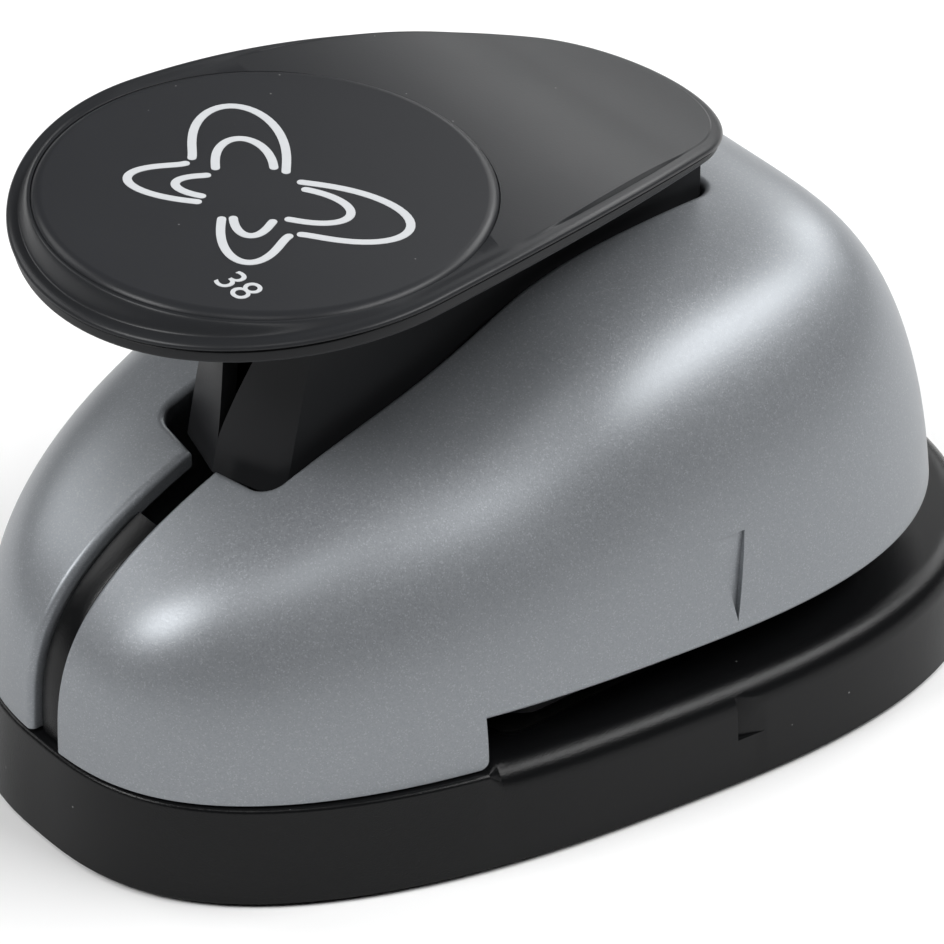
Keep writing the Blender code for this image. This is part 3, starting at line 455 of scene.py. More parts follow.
# the black pieces differ in depth of colour, gloss and grain, and the web's and the punch frame's darker
# colours are painted shade
blacks = {
    "leverBlack": {"base": (0.020, 0.0209, 0.0228), "roughness": 0.31, "grain": 0.24, "bump": 0.10,
                   "specular": 0.17},
    "padBlack": {"base": (0.021, 0.0219, 0.0243), "roughness": 0.32, "grain": 0.22, "bump": 0.06,
                 "specular": 0.18},
    # painted shade: the web is the cover's plastic, coloured darker to stand for the shade under the lever's
    # lip
    "webShadedBlack": {"base": (0.015, 0.0155, 0.0168), "roughness": 0.40, "grain": 0.24, "bump": 0.10,
                 "specular": 0.12},
    "baseBlack": {"base": (0.005, 0.0052, 0.0056), "roughness": 0.22, "grain": 0.15, "bump": 0.55,
                  "specular": 0.16},
    # painted shade: the zinc punch frame is coloured near-black so that the inside of the paper slot reads
    # as shade
    "frameShadeBlack": {"base": (0.012, 0.0120, 0.0125), "roughness": 0.45, "grain": 0.60, "bump": 0.18,
                   "specular": 0.15},
}
wear = {"cloud": (14.0, 4.0), "cloudSway": 0.08, "grainSway": 0.06, "lighter": 1.25, "share": 0.4,
        "bumpDepth": 0.05}
dust = {"cell": 2.3, "radius": 0.10, "share": 0.22, "colour": (0.16, 0.16, 0.16)}


def blackPlastic(name):
    look = blacks[name]
    made = Finish(name, look["base"], look["roughness"], 0.0, look["specular"])
    cloud = made.noise(*wear["cloud"])
    grain = made.noise(look["grain"])
    lighter = tuple(value * wear["lighter"] for value in look["base"])
    worn = made.blend(cloud * wear["share"], look["base"], lighter)
    dusty = made.specks(dust["cell"], dust["radius"], dust["share"])
    least = look["roughness"] - (wear["cloudSway"] + wear["grainSway"]) / 2
    made.set({
        "Base Color": made.blend(dusty, worn, dust["colour"]),
        "Roughness": cloud * wear["cloudSway"] + grain * wear["grainSway"] + least,
        "Normal": made.bump(grain, look["bump"], wear["bumpDepth"]),
    })
    return made


# the other pieces are clouded between two shades; cloud and grain hold size, detail and roughness
shades = {
    "whitePrint": {"dark": (0.510, 0.525, 0.540), "light": (0.550, 0.565, 0.580), "roughness": 0.50,
                   "cloud": (1.2, 3.0), "cloudSway": 0.10},
    "brightSteel": {"dark": (0.4928, 0.4928, 0.4840), "light": (0.56, 0.56, 0.55), "roughness": 0.30,
                    "metallic": 1.0, "cloud": (6.0, 4.0), "cloudSway": 0.12,
                    "grain": (0.5,), "grainSway": 0.08, "bump": 0.08, "bumpDepth": 0.03},
    "castZinc": {"dark": (0.33, 0.33, 0.34), "light": (0.46, 0.46, 0.47), "roughness": 0.48,
                 "metallic": 1.0, "cloud": (3.0, 5.0, 0.6), "cloudSway": 0.20,
                 "grain": (3.0, 5.0, 0.6), "bump": 0.25, "bumpDepth": 0.08},
    "whitePlastic": {"dark": (0.70, 0.70, 0.66), "light": (0.78, 0.78, 0.76), "roughness": 0.40,
                     "cloud": (5.0, 3.0), "cloudSway": 0.12,
                     "grain": (0.4,), "bump": 0.08, "bumpDepth": 0.03},
}


def cloudedFinish(name):
    look = shades[name]
    made = Finish(name, look["light"], look["roughness"], look.get("metallic", 0.0))
    cloud = made.noise(*look["cloud"])
    cloudSway, grainSway = look["cloudSway"], look.get("grainSway", 0.0)
    least = look["roughness"] - (cloudSway + grainSway) / 2
    roughness = cloud * cloudSway + least
    if "grain" in look:
        grain = made.noise(*look["grain"])
        roughness += grain * grainSway
        made.set({"Normal": made.bump(grain, look["bump"], look["bumpDepth"])})
    made.set({"Base Color": made.blend(cloud, look["dark"], look["light"]), "Roughness": roughness})
    return made


# Base: a moulded tray with a deck, ribs and screw bosses below, and a well for the die plate
base = {
    "halfLength": 53.7,
    "halfWidth": 36.0,
    "height": 11.7,
    "wall": 2.2,
    "draft": 0.5,
    "footChamfer": 0.6,
    "rimRadius": 0.5,
    "powerShare": 2.64,
    "taperShare": 0.187,
    "deckThickness": 2.5,
    "deckEdgeRadius": 3.0,
    "ribThickness": 1.3,
    "ribLift": 1.5,
    "lengthRibX": 14.0,
    "sideRibReach": 12.0,
    "lipClearance": 0.4,
    "lipThickness": 1.3,
    "lipHeight": 2.0,
    "lipGapHalfWidth": 6.0,
    "markLead": 1.0,
    "markWidth": 3.6,
    "markDepth": 0.7,
    "markBottom": 5.6,
    "outlineSteps": 240,
    "hollowSteps": 120,
    "lipSteps": 160,
}
paperSlot = {"front": -21.5, "top": 17.5, "cornerRadius": 1.0, "edgeRound": 0.6, "fade": 1.2}
motif = {"halfWidth": 19.0, "halfHeight": 11.5, "y": 7.0}  # the punched shape
well = {"lift": 3.0, "wall": 1.6, "ledge": 2.0, "windowMargin": 1.0, "windowRadius": 2.0,
        "cornerRadius": 2.8}
screws = {"hole": 1.7, "sink": 2.9, "bossWall": 1.8, "bossLift": 2.0, "counterbore": 3.2,
          "shellX": 14.0, "shellY": -42.0, "frameX": (16.0, 7.0), "frameY": -27.0, "flangeTop": 16.0,
          "rearX": 21.0, "rearY": 27.0, "shellReach": 9.0, "dieInset": 3.2}


def motifBox(margin):
    halfX, halfY = motif["halfWidth"] + margin, motif["halfHeight"] + margin
    return rectangle(-halfX, halfX, motif["y"] - halfY, motif["y"] + halfY)


def baseOutline(distance=0.0, steps=base["outlineSteps"]):
    taper = base["taperShare"] / base["halfLength"]
    outline = [squircle(tau * k / steps, base["halfWidth"], base["halfLength"], taper, base["powerShare"])
               for k in range(steps)]
    return inset(outline, distance)


def baseHalfWidthAt(y):
    flare = base["halfWidth"] * (1 + base["taperShare"] * y / base["halfLength"])
    return flare * (1 - abs(y / base["halfLength"]) ** base["powerShare"]) ** (1 / base["powerShare"])


def baseRings(arcSteps=10):
    outline = baseOutline()
    rings = [[(x, y, 0) for x, y in inset(outline, base["footChamfer"])],
             [(x, y, base["footChamfer"]) for x, y in outline]]
    for down, inward in edgeArc(1.0, arcSteps):
        ring = []
        for (x, y), (farX, farY), (nearX, nearY) in zip(
                outline, inset(outline, base["draft"] + base["deckEdgeRadius"] * inward),
                inset(outline, base["draft"] + base["rimRadius"] * inward)):
            # the big radius fades out in front of the paper slot, under the shell's corner
            share = min(max((y - paperSlot["front"]) / paperSlot["fade"] + 1 / 2, 0), 1)
            radius = base["rimRadius"] + (base["deckEdgeRadius"] - base["rimRadius"]) * share
            ring.append((nearX + (farX - nearX) * share, nearY + (farY - nearY) * share,
                         base["height"] - radius * down))
        rings.append(ring)
    return rings


def baseHollow(wellBox):
    deckBottom = base["height"] - base["deckThickness"]
    above = deckBottom + over
    half = base["ribThickness"] / 2
    left, right, front, rear = wellBox
    hollow = tool(prism(baseOutline(base["wall"], base["hollowSteps"]), -over, deckBottom))
    wall, far, reach = well["wall"], base["halfLength"], base["sideRibReach"]
    block = rectangle(left - wall, right + wall, front - wall, rear + wall)
    ribs = []
    for side in (-1, 1):
        x = side * base["lengthRibX"]
        ribs += [rectangle(x - half, x + half, -far, front - half),
                 rectangle(x - half, x + half, rear + half, far)]
        low, high = sorted((side * (right + half), side * far))
        ribs += [rectangle(low, high, y - half, y + half) for y in (motif["y"] - reach, motif["y"] + reach)]
    return cut(hollow, tool(prism(block, well["lift"], above)),
               *(tool(prism(rib, base["ribLift"], above)) for rib in ribs),
               *posts(screws["hole"] + screws["bossWall"], screws["bossLift"], above, basePosts()))


def basePosts():
    frameScrews = [(side * x, screws["frameY"]) for side in (-1, 1) for x in screws["frameX"]]
    return pair(screws["shellX"], screws["shellY"]) + frameScrews


def steppedBore(low, seat, top):
    # a screw's head goes in from the low end up to the seat, and its shank up to the top
    return turned([(0, low), (screws["sink"], low), (screws["sink"], seat), (screws["hole"], seat),
                   (screws["hole"], top), (0, top)])


def makeBase(finish):
    dieLow, dieHigh = boxOf("die_plate")
    wellBox = (dieLow.x - seatGap, dieHigh.x + seatGap, dieLow.y - seatGap, dieHigh.y + seatGap)
    ledgeTop = dieLow.z - seatGap
    ledgeBottom = ledgeTop - well["ledge"]
    top = base["height"] + over
    piece = addPiece("baseTray", loft(baseRings()))
    window, chute = motifBox(well["windowMargin"]), motifBox(well["windowMargin"] + well["wall"])
    moat = cut(tool(prism(rectangle(*wellBox), -over, ledgeBottom)),
               tool(prism(fillet(chute, well["windowRadius"] + well["wall"]), -over * 2, base["height"])))
    cut(piece, baseHollow(wellBox), moat,
        tool(prism(fillet(rectangle(*wellBox), well["cornerRadius"]), ledgeTop, top)),
        tool(prism(fillet(window, well["windowRadius"]), -over, base["height"])))
    join(piece, locatingLip())
    seat = screws["bossLift"] + screws["counterbore"]
    cut(piece, *(tool(steppedBore(-over, seat, top), (x, y, 0)) for x, y in basePosts()))
    edge = screws["dieInset"]
    holes = [(side * (dieHigh.x - edge), y) for side in (-1, 1) for y in (dieLow.y + edge, dieHigh.y - edge)]
    cut(piece, *posts(screws["hole"], 0, base["height"], holes))
    cut(piece, *baseMarks(top))
    dress(piece, finish, "black_plastic", "housing", "base")


def baseMarks(top):
    # a notch in each side, level with the punched shape, deep in front and fading out behind
    marks = []
    start = motif["y"] - base["markLead"]
    end = start + base["markWidth"]
    for side in (-1, 1):
        rings = []
        for z in (base["markBottom"], top):  # the side leans in by the draft
            near, far = (baseHalfWidthAt(y) - base["draft"] * z / base["height"] for y in (start, end))
            deep = near - base["markDepth"]
            corners = ((deep, start), (near + over, start), (far + over, end), (far, end))
            rings.append([(side * x, y, z) for x, y in corners])
        marks.append(tool(loft(rings)))
    return marks


def locatingLip():
    # a low wall that stands just inside the shell's foot, in front of the paper slot
    steps = base["lipSteps"]
    outer, inner = ([shellPlan(k, steps, shell["wall"] + skin) for k in range(steps)]
                    for skin in (base["lipClearance"], base["lipClearance"] + base["lipThickness"]))
    top = base["height"] + base["lipHeight"]
    lip = tool(prism(outer, base["height"] - base["deckThickness"] / 2, top))
    wide = base["halfLength"] * 2
    gap = base["lipGapHalfWidth"]
    around = shell["bossRadius"] + base["lipClearance"]
    return cut(lip, tool(prism(inner, 0, top + over)),
               tool(prism(rectangle(-wide, wide, paperSlot["front"], wide), 0, top + over)),
               tool(prism(rectangle(-gap, gap, -wide, 0), 0, top + over)),
               *posts(around, 0, top + over, pair(screws["shellX"], screws["shellY"])))


# Shell: a crown line along Y, carried out to the plan outline by one section rule
shell = {
    "foot": 12.0,
    "wall": 2.0,
    "frontLength": 53.0,
    "rearLength": 47.5,
    "halfWidth": 34.4,
    "frontHeight": 31.5,
    "rearHeight": 38.1,
    "stepY": -3.8,
    "stepLength": 9.8,
    "taperShare": 0.18,
    "powerShare": 2.65,
    "frontProfileShare": (1.43, 2.99),
    "rearProfileShare": (8.2, 1.0),
    "sectionShare": (4.2, 1.77),
    "bossRadius": 3.0,
    "steps": (240, 64),  # round the plan, and up from the foot
    "cavitySteps": (120, 24),
}
roofOpening = {"halfWidth": 8.8, "front": -31.65, "rear": 24.6, "peak": 1.3, "radius": 2.0,
               "edgeRound": 0.8, "step": 1.0}
noseSlot = {"halfWidth": 2.0, "flangeHalfWidth": 4.0, "flange": 1.3, "recess": 1.0, "stripEnd": -39.6,
            "stripRound": 0.4}
shellRib = {"x": 16.0, "thickness": 1.3, "front": -31.0, "rear": -6.0}
arrow = {"halfWidth": 1.8, "lift": 1.5, "height": 9.5, "depth": 0.6, "depthShares": (0.1, 0.5, 1.0)}


def shellReach(y, skin):
    return (shell["frontLength"] if y < 0 else shell["rearLength"]) - skin


def shellPlan(k, steps, skin):
    angle = tau * k / steps - pi / 2
    taper = shell["taperShare"] / shell["frontLength"]
    half, reach = shell["halfWidth"] - skin, shellReach(sin(angle), skin)
    return squircle(angle, half, reach, taper, shell["powerShare"])


def shellHalfWidthAt(y, skin):
    along = min(abs(y) / shellReach(y, skin), 1)
    flare = (shell["halfWidth"] - skin) * (1 + shell["taperShare"] * y / shell["frontLength"])
    return flare * (1 - along ** shell["powerShare"]) ** (1 / shell["powerShare"])


def shellCrownRise(y, skin):
    mix = (1 + tanh((y - shell["stepY"]) / shell["stepLength"])) / 2
    rise = shell["frontHeight"] + (shell["rearHeight"] - shell["frontHeight"]) * mix - skin
    spread, lift = shell["frontProfileShare"] if y < 0 else shell["rearProfileShare"]
    return rise * (1 - min(abs(y) / shellReach(y, skin), 1) ** spread) ** (1 / lift)


def shellTop(x, y, skin=0.0):
    width = shellHalfWidthAt(y, skin)
    spread, lift = shell["sectionShare"]
    out = min(abs(x) / width, 1) if width > 0 else 1
    return shell["foot"] + shellCrownRise(y, skin) * (1 - out ** spread) ** (1 / lift)


def shellSide(y, z):
    spread, lift = shell["sectionShare"]
    up = min((z - shell["foot"]) / shellCrownRise(y, 0.0), 1)
    return shellHalfWidthAt(y, 0.0) * (1 - up ** lift) ** (1 / spread)


def shellRings(skin, around, steps):
    rings = []
    plan = [shellPlan(k, around, skin) for k in range(around)]
    for step in range(steps):
        share = cos(step / steps * pi / 2) ** (2 / shell["powerShare"])
        rings.append([(x * share, y * share, shellTop(x * share, y * share, skin) if step else shell["foot"])
                      for x, y in plan])
    return rings


def roofOutline(grow):
    half = roofOpening["halfWidth"]
    corners = rectangle(-half, half, roofOpening["front"], roofOpening["rear"])
    outline = [(x, y - roofOpening["peak"] * (1 - abs(x) / half) if y < 0 else y)
               for x, y in divide(fillet(corners, roofOpening["radius"]), roofOpening["step"])]
    return inset(outline, -grow)


def roofCutter():
    rings = [[(x, y, shellTop(x, y, depth)) for x, y in roofOutline(grow)]
             for grow, depth in edgeArc(roofOpening["edgeRound"])]
    rings.insert(0, [(x, y, shell["foot"] + shell["rearHeight"] + over) for x, y, z in rings[0]])
    rings.append([(x, y, shell["foot"] + shell["frontHeight"] / 2) for x, y, z in rings[-1]])
    return loft(rings)


def noseLine(endY, skin, steps=72):
    # the middle line of the shell's nose, from its foot back to endY
    reach = shell["frontLength"] - skin
    last = acos((-endY / reach) ** (shell["powerShare"] / 2))
    line = []
    for k in range(steps + 1):
        y = -reach * cos(last * k / steps) ** (2 / shell["powerShare"])
        line.append((y, shellTop(0, y, skin) if k else shell["foot"]))
    return line


def sweepNose(half, endY, startBelow=0.0):
    # half a section, as (x, depth below the shell), mirrored and carried along the nose
    section = half + [(-x, skin) for x, skin in reversed(half)]
    lines = {skin: noseLine(endY, skin) for x, skin in section}
    count = len(lines[section[0][1]])
    rings = [[(x, *lines[skin][k]) for x, skin in section] for k in range(count)]
    if startBelow:
        rings.insert(0, [(x, y, z - startBelow) for x, y, z in rings[0]])
    return loft(rings)


def noseCutter():
    # the slot with its rounded edges, and behind it the pocket for the strip's flange
    half = noseSlot["halfWidth"]
    profile = [(half + roofOpening["edgeRound"], -over)]
    profile += [(half + grow, depth) for grow, depth in edgeArc(roofOpening["edgeRound"])]
    pocket = noseSlot["flangeHalfWidth"] + seatGap
    behind = shell["wall"]
    profile += [(half, behind), (pocket, behind), (pocket, behind + noseSlot["flange"] + seatGap * 2)]
    return sweepNose(profile, roofOpening["front"] + over, over)


def arrowCutter(side):
    # a wedge that gets deeper from its top to its tip
    tip = paperSlot["top"] + arrow["lift"]
    middle, half, high = motif["y"], arrow["halfWidth"], tip + arrow["height"]
    corners = [(middle - half, high), (middle + half, high), (middle, tip)]
    inner = [(side * (shellSide(y, z) - arrow["depth"] * share), y, z)
             for (y, z), share in zip(corners, arrow["depthShares"])]
    return loft([inner, [(side * (shellSide(y, z) + over), y, z) for y, z in corners]])


def shellOutlineAt(z, steps=240, halvings=30):
    # the shell's outline at one height, found along each spoke of its plan
    outline = []
    for k in range(steps):
        x, y = shellPlan(k, steps, 0.0)
        inner, outer = 0.5, 1.0
        for halving in range(halvings):
            share = (inner + outer) / 2
            if shellTop(x * share, y * share) > z:
                inner = share
            else:
                outer = share
        outline.append((x * inner, y * inner))
    return outline


def paperSlotCutter(steps=10):
    # all below the slot's top behind its front corner, where the shell's wall gets a rounded lower edge
    radius, corner, front, top = (paperSlot[key] for key in ("edgeRound", "cornerRadius", "front", "top"))
    wall = shellOutlineAt(top + radius)
    low = shell["foot"] - over
    levels = [(-over, low), (-over, top + radius)]
    levels += [(out, top + down) for out, down in reversed(edgeArc(radius, steps))]
    levels.append((shell["wall"] * 2, top))
    cutter = tool(loft([[(x, y, z) for x, y in inset(wall, inward)] for inward, z in levels]))
    arc = [(front - down, shell["foot"] + out) for out, down in edgeArc(corner, steps)]
    rear, high, wide = shell["frontLength"] + over * 2, top + over, shell["frontLength"]
    profile = [(front, high), *arc, (front - corner, low - over), (rear, low - over), (rear, high)]
    return combine(cutter, "INTERSECT", [tool(prism(profile, -wide, wide, alongX))])


def makeShell(finish):
    piece = addPiece("shell", loft(shellRings(0.0, *shell["steps"]), ladder=True))
    rings = shellRings(shell["wall"], *shell["cavitySteps"])
    cavity = tool(loft([[(x, y, z - over) for x, y, z in rings[0]], *rings], ladder=True))
    high = shell["foot"] + shell["rearHeight"] + over
    boss, flangeTop = shell["bossRadius"], screws["flangeTop"]
    frontPlaces = pair(screws["shellX"], screws["shellY"])
    rearPlaces = pair(screws["rearX"], screws["rearY"])
    cut(cavity, *posts(boss, 0, high, frontPlaces), *posts(boss, flangeTop + seatGap, high, rearPlaces))
    for side in (-1, 1):
        left = side * shellRib["x"] - shellRib["thickness"] / 2
        rib = rectangle(left, left + shellRib["thickness"], shellRib["front"], shellRib["rear"])
        cut(cavity, tool(prism(rib, paperSlot["top"], high)))
    cut(piece, cavity, cut(paperSlotCutter(), *posts(boss, flangeTop + seatGap, high, rearPlaces)))
    cut(piece, tool(roofCutter()), tool(noseCutter()), tool(arrowCutter(-1)), tool(arrowCutter(1)))
    pilots = [(x, y, shell["foot"] - over, shell["foot"]) for x, y in frontPlaces]
    pilots += [(x, y, flangeTop, flangeTop) for x, y in rearPlaces]
    cut(piece, *(tool(rod(screws["hole"], low, seat + screws["shellReach"] + seatGap), (x, y, 0))
                 for x, y, low, seat in pilots))
    dress(piece, finish, "silver_paint", "housing", "top_shell")


def makeFrontStrip(finish, arcSteps=3):
    face = noseSlot["halfWidth"] - seatGap
    behind = shell["wall"] + seatGap
    recess, soft = noseSlot["recess"], noseSlot["stripRound"]
    half = [(face - down, recess + out) for out, down in reversed(edgeArc(soft, arcSteps))]
    half += [(face, behind), (noseSlot["flangeHalfWidth"], behind),
             (noseSlot["flangeHalfWidth"], behind + noseSlot["flange"])]
    piece = addPiece("noseStrip", sweepNose(half, noseSlot["stripEnd"]))
    dress(piece, finish, "black_plastic", "housing", "front_strip")


# Lever: a cover over a lip plate, with a web below that carries the hub and the nose
lever = {
    "level": 65.1,
    "padY": -24.6,
    "padRadius": 24.9,
    "tailY": 13.4,
    "tailRadius": 15.2,
    "flankRadius": 129.0,
    "rimApexY": -22.9,
    "rimRadius": 156.6,
    "undersideRadius": 172.0,
    "slopeShare": 0.025,
    "topBendY": -18.0,
    "topBendReach": 31.0,
    "topBendDrop": 2.9,
    "arcSteps": (72, 60, 30),
}
cover = {
    "seamDrop": 0.95,
    "footRound": 0.1,
    "sideHeight": 0.15,
    "edgeWidth": 0.85,
    "edgeRise": 0.5,
    "ledge": 0.25,
    "topRise": -0.36,
    "padInset": 2.2,
    "tailInset": 1.35,
    "frontDrop": 0.35,
    "leastRise": 0.1,
    "riseBlend": 0.1,
    "topBorder": 0.4,
    "pocketRound": 0.08,
    "wideningY": -18.0,
    "wideningLength": 16.0,
}
lip = {"thickness": 1.5, "inset": 0.35, "round": 0.5, "topRound": 0.12}
disc = {
    "radius": 22.5,
    "thickness": 0.85,
    "clearance": 0.06,
    "edgeRadius": 1.2,
    "edgeTilt": radians(62),
    "seatRim": 0.3,
    "seatThickness": 0.6,
}
web = {
    "bottom": 35.0,
    "bottomHalfWidth": 7.8,
    "sideShare": 0.01,
    "frontShare": 0.22,
    "front": -31.7,
    "frontPeak": 2.05,
    "cornerRadius": 1.0,
    "rear": 23.8,
    "wall": 1.8,
    "floor": 2.8,
    "cavitySetback": 7.5,
    "pinRadius": 1.75,
    "hubHalfWidth": 8.0,
    "hubRadius": 4.0,
    "noseRadius": 4.0,
    "noseHalfWidth": 6.0,
    "ribReach": 20.0,
    "ribDepth": 2.4,
    "ribPitch": 9.0,
    "ribThickness": 1.3,
}
vee = {"lift": 3.5, "height": 11.0, "halfWidth": 2.9, "top": 19.0, "powerShare": 1.25, "return": 0.3}


def leverOutline(distance):
    # the pad's arc, on each side a wide flank arc that runs smoothly on from it, and the tail's arc
    padY, padRadius, tailY, tailRadius, flank = (lever[key] for key in (
        "padY", "padRadius", "tailY", "tailRadius", "flankRadius"))
    toPad, toTail = flank - padRadius, flank - tailRadius
    middle = (toPad ** 2 - toTail ** 2 + tailY ** 2 - padY ** 2) / (2 * (tailY - padY))
    reach = sqrt(toPad ** 2 - (middle - padY) ** 2)
    padTurn, tailTurn = atan2(padY - middle, reach), atan2(tailY - middle, reach)
    padSteps, flankSteps, tailSteps = lever["arcSteps"]
    arcs = ((0, padY, padRadius, -pi / 2, padTurn, padSteps),
            (-reach, middle, flank, padTurn, tailTurn, flankSteps),
            (0, tailY, tailRadius, tailTurn, pi / 2, tailSteps))
    right = []
    for x, y, radius, start, end, steps in arcs:
        for angle in (start + (end - start) * k / steps for k in range(steps)):
            right.append((x + (radius - distance) * cos(angle), y + (radius - distance) * sin(angle)))
    right[0] = (0, padY - padRadius + distance)
    right.append((0, tailY + tailRadius - distance))
    return right + [(-x, y) for x, y in right[-2:0:-1]]


def rimDrop(y, radius=lever["rimRadius"]):
    # the seam and the underside are arcs along the lever
    return radius - sqrt(radius ** 2 - (y - lever["rimApexY"]) ** 2)


def ledgeLevel():
    return lever["level"] - cover["seamDrop"] + cover["sideHeight"] + cover["edgeRise"]


def topLine(y):
    # the top tilts with the disc, drops a little in front, bends down behind and keeps above the ledge
    bend = lever["topBendDrop"] * (max(y - lever["topBendY"], 0) / lever["topBendReach"]) ** 3
    front = max(lever["padY"] - y, 0) / lever["padRadius"]
    top = lever["level"] + cover["topRise"] - (y - lever["padY"]) * lever["slopeShare"] - bend
    top -= cover["frontDrop"] * front ** 2
    if y <= 0:
        return top
    least = ledgeLevel() - rimDrop(y) + cover["leastRise"]
    return least + cover["riseBlend"] * log(1 + exp((top - least) / cover["riseBlend"]))


def rimRing(distance, level, radius=lever["rimRadius"]):
    return [(x, y, level - rimDrop(y, radius)) for x, y in leverOutline(distance)]


def lipTop():
    return lever["level"] - cover["seamDrop"] - seatGap


def webOutline(wall, rear, stations=32):
    # plan of the web at its foot: a blunt point in front and straight sides
    corner = web["bottomHalfWidth"] - wall
    start = web["front"] + web["frontPeak"] + wall
    first = start + web["cornerRadius"]
    right = [(0, web["front"] + wall), (corner - web["cornerRadius"], start)]
    right += [(corner, first + (rear - first) * k / stations) for k in range(stations + 1)]
    return bothSides(right)


def webLoft(wall, rear, floor, topRise, steps=8):
    hubStart = motif["y"] + web["noseRadius"]
    rings = []
    for k in range(steps + 1):
        ring = []
        for x, y in webOutline(wall, rear):
            behind = max(y - hubStart, 0) / (pivot.y - hubStart)
            low = web["bottom"] + floor + behind * (pivot.z - web["hubRadius"] - web["bottom"])
            high = lipTop() - lip["thickness"] / 4 + topRise - rimDrop(y)
            z = low + (high - low) * k / steps
            up = z - web["bottom"]
            widen = 1 + web["sideShare"] * up / (web["bottomHalfWidth"] - wall)
            lean = web["frontShare"] * up * (rear - y) / (rear - web["front"])
            ring.append((x * widen, y + lean, z))
        rings.append(ring)
    return loft(rings, ladder=True)


def veeOutline(steps=24):
    # the notch in the web's front wall, which widens as it goes up and stops just inside the side walls
    low = web["bottom"] + vee["lift"]
    right = [(0, low)]
    for k in range(1, steps + 1):
        up = vee["top"] * k / steps
        sideWall = web["bottomHalfWidth"] - web["wall"] + web["sideShare"] * (up + vee["lift"])
        wide = vee["halfWidth"] * (up / vee["height"]) ** vee["powerShare"]
        right.append((min(wide, sideWall - vee["return"]), low + up))
    return bothSides(right)


def crossRod(radius, half, y, z, steps=48):
    # a rod along X, across the middle line
    return tool(rod(radius, -half, half, steps), (0, y, z), (0, pi / 2, 0))


def makeLeverBody(finish, arcSteps=6):
    bottom, edge, small = lipTop() - lip["thickness"], lip["inset"], lip["topRound"]
    rings = [rimRing(edge + out, bottom + down, lever["undersideRadius"])
             for out, down in edgeArc(lip["round"], arcSteps)]
    rings += [rimRing(edge, lipTop() - small), rimRing(edge + small, lipTop())]
    piece = addPiece("leverWeb", loft(rings, ladder=True))
    noseZ = boxOf("press_pad")[1].z + seatGap + web["noseRadius"]
    half = web["hubHalfWidth"]
    join(piece, tool(webLoft(0.0, web["rear"], 0.0, 0.0)),
         crossRod(web["hubRadius"], half, pivot.y, pivot.z),
         crossRod(web["noseRadius"], web["noseHalfWidth"], motif["y"], noseZ))
    for step in (0, 1):
        y = lever["padY"] + (step + 1 / 2) * web["ribPitch"]
        top = bottom - rimDrop(y, lever["undersideRadius"]) + lip["thickness"] / 2
        rib = rectangle(y - web["ribThickness"] / 2, y + web["ribThickness"] / 2, top - web["ribDepth"], top)
        join(piece, tool(prism(rib, -web["ribReach"], web["ribReach"], alongX)))
    deep = web["front"] + web["frontShare"] * vee["top"] + web["frontPeak"] + web["wall"] + over
    seatFloor = discFloor() - disc["seatThickness"] - seatGap
    seatRadius = disc["radius"] + disc["clearance"] + disc["seatRim"] + seatGap
    hollow = webLoft(web["wall"], pivot.y - web["cavitySetback"], web["floor"], lip["thickness"] + over)
    cut(piece, tool(hollow), tool(tiltedDisc([(seatRadius, seatFloor), (seatRadius, lever["level"])])))
    cut(piece, tool(prism(veeOutline(), web["front"] - over, deep, alongY)),
        crossRod(web["pinRadius"] + seatGap, half + over, pivot.y, pivot.z))
    dress(piece, finish, "lever_plastic", "lever", "lever_body")


def discFloor():
    return lever["level"] - disc["thickness"] - seatGap


def tiltedDisc(levels, steps=160):
    # rings round the pad's middle, as (radius, level), in the slope of the pad
    return loft([[(x, lever["padY"] + y, level - y * lever["slopeShare"]) for x, y in circle(radius, steps)]
                 for radius, level in levels])


def topRing(extra=0.0):
    # the edge of the top, further in round the disc than along the tail
    pad, tail = leverOutline(cover["padInset"] + extra), leverOutline(cover["tailInset"] + extra)
    ring = []
    for (ax, ay), (bx, by) in zip(pad, tail):
        share = smooth(min(max((ay - cover["wideningY"]) / cover["wideningLength"], 0), 1))
        y = ay + (by - ay) * share
        ring.append((ax + (bx - ax) * share, y, topLine(y)))
    return ring


def makeLeverCover(finish, arcSteps=10, slopeSteps=14, pocketSteps=5):
    low, foot, ledgeTop = lever["level"] - cover["seamDrop"], cover["footRound"], ledgeLevel()
    levels = [(foot, low), (0, low + foot)]
    levels += [(cover["edgeWidth"] * inward, ledgeTop - cover["edgeRise"] * down)
               for down, inward in edgeArc(1.0, arcSteps)]
    levels.append((cover["edgeWidth"] + cover["ledge"], ledgeTop))
    rings = [rimRing(distance, level) for distance, level in levels]
    ledge, crest = rings[-1], topRing()
    for share in (k / slopeSteps for k in range(1, slopeSteps + 1)):
        rings.append([(ax + (bx - ax) * share, ay + (by - ay) * share, az + (bz - az) * smooth(share))
                      for (ax, ay, az), (bx, by, bz) in zip(ledge, crest)])
    rings.append(topRing(cover["topBorder"]))
    piece = addPiece("leverCover", loft(rings, ladder=True))
    edge, soft = disc["radius"] + disc["clearance"], cover["pocketRound"]
    top = lever["level"] + cover["topRise"]
    seat = edge + disc["seatRim"]
    join(piece, tool(tiltedDisc([(seat, discFloor() - disc["seatThickness"]), (seat, discFloor())])))
    pocket = [(edge, discFloor())]
    pocket += [(edge + down, top - out) for out, down in edgeArc(soft, pocketSteps)]
    pocket.append((edge + soft, lever["level"] + over))
    cut(piece, tool(tiltedDisc(pocket)))
    dress(piece, finish, "lever_plastic", "lever", "lever_cover")


def makePadDisc(finish, arcSteps=9):
    soft, tilt, top = disc["edgeRadius"], disc["edgeTilt"], lever["level"]
    flat = disc["radius"] - soft * sin(tilt)
    levels = [(disc["radius"], top - disc["thickness"])]
    levels += [(flat + soft * sin(angle), top - soft * (1 - cos(angle)))
               for angle in (tilt * (1 - k / arcSteps) for k in range(arcSteps + 1))]
    levels.append((flat - disc["clearance"], top))
    piece = addPiece("padFace", tiltedDisc(levels))
    dress(piece, finish, "pad_print", "lever", "pad_disc")


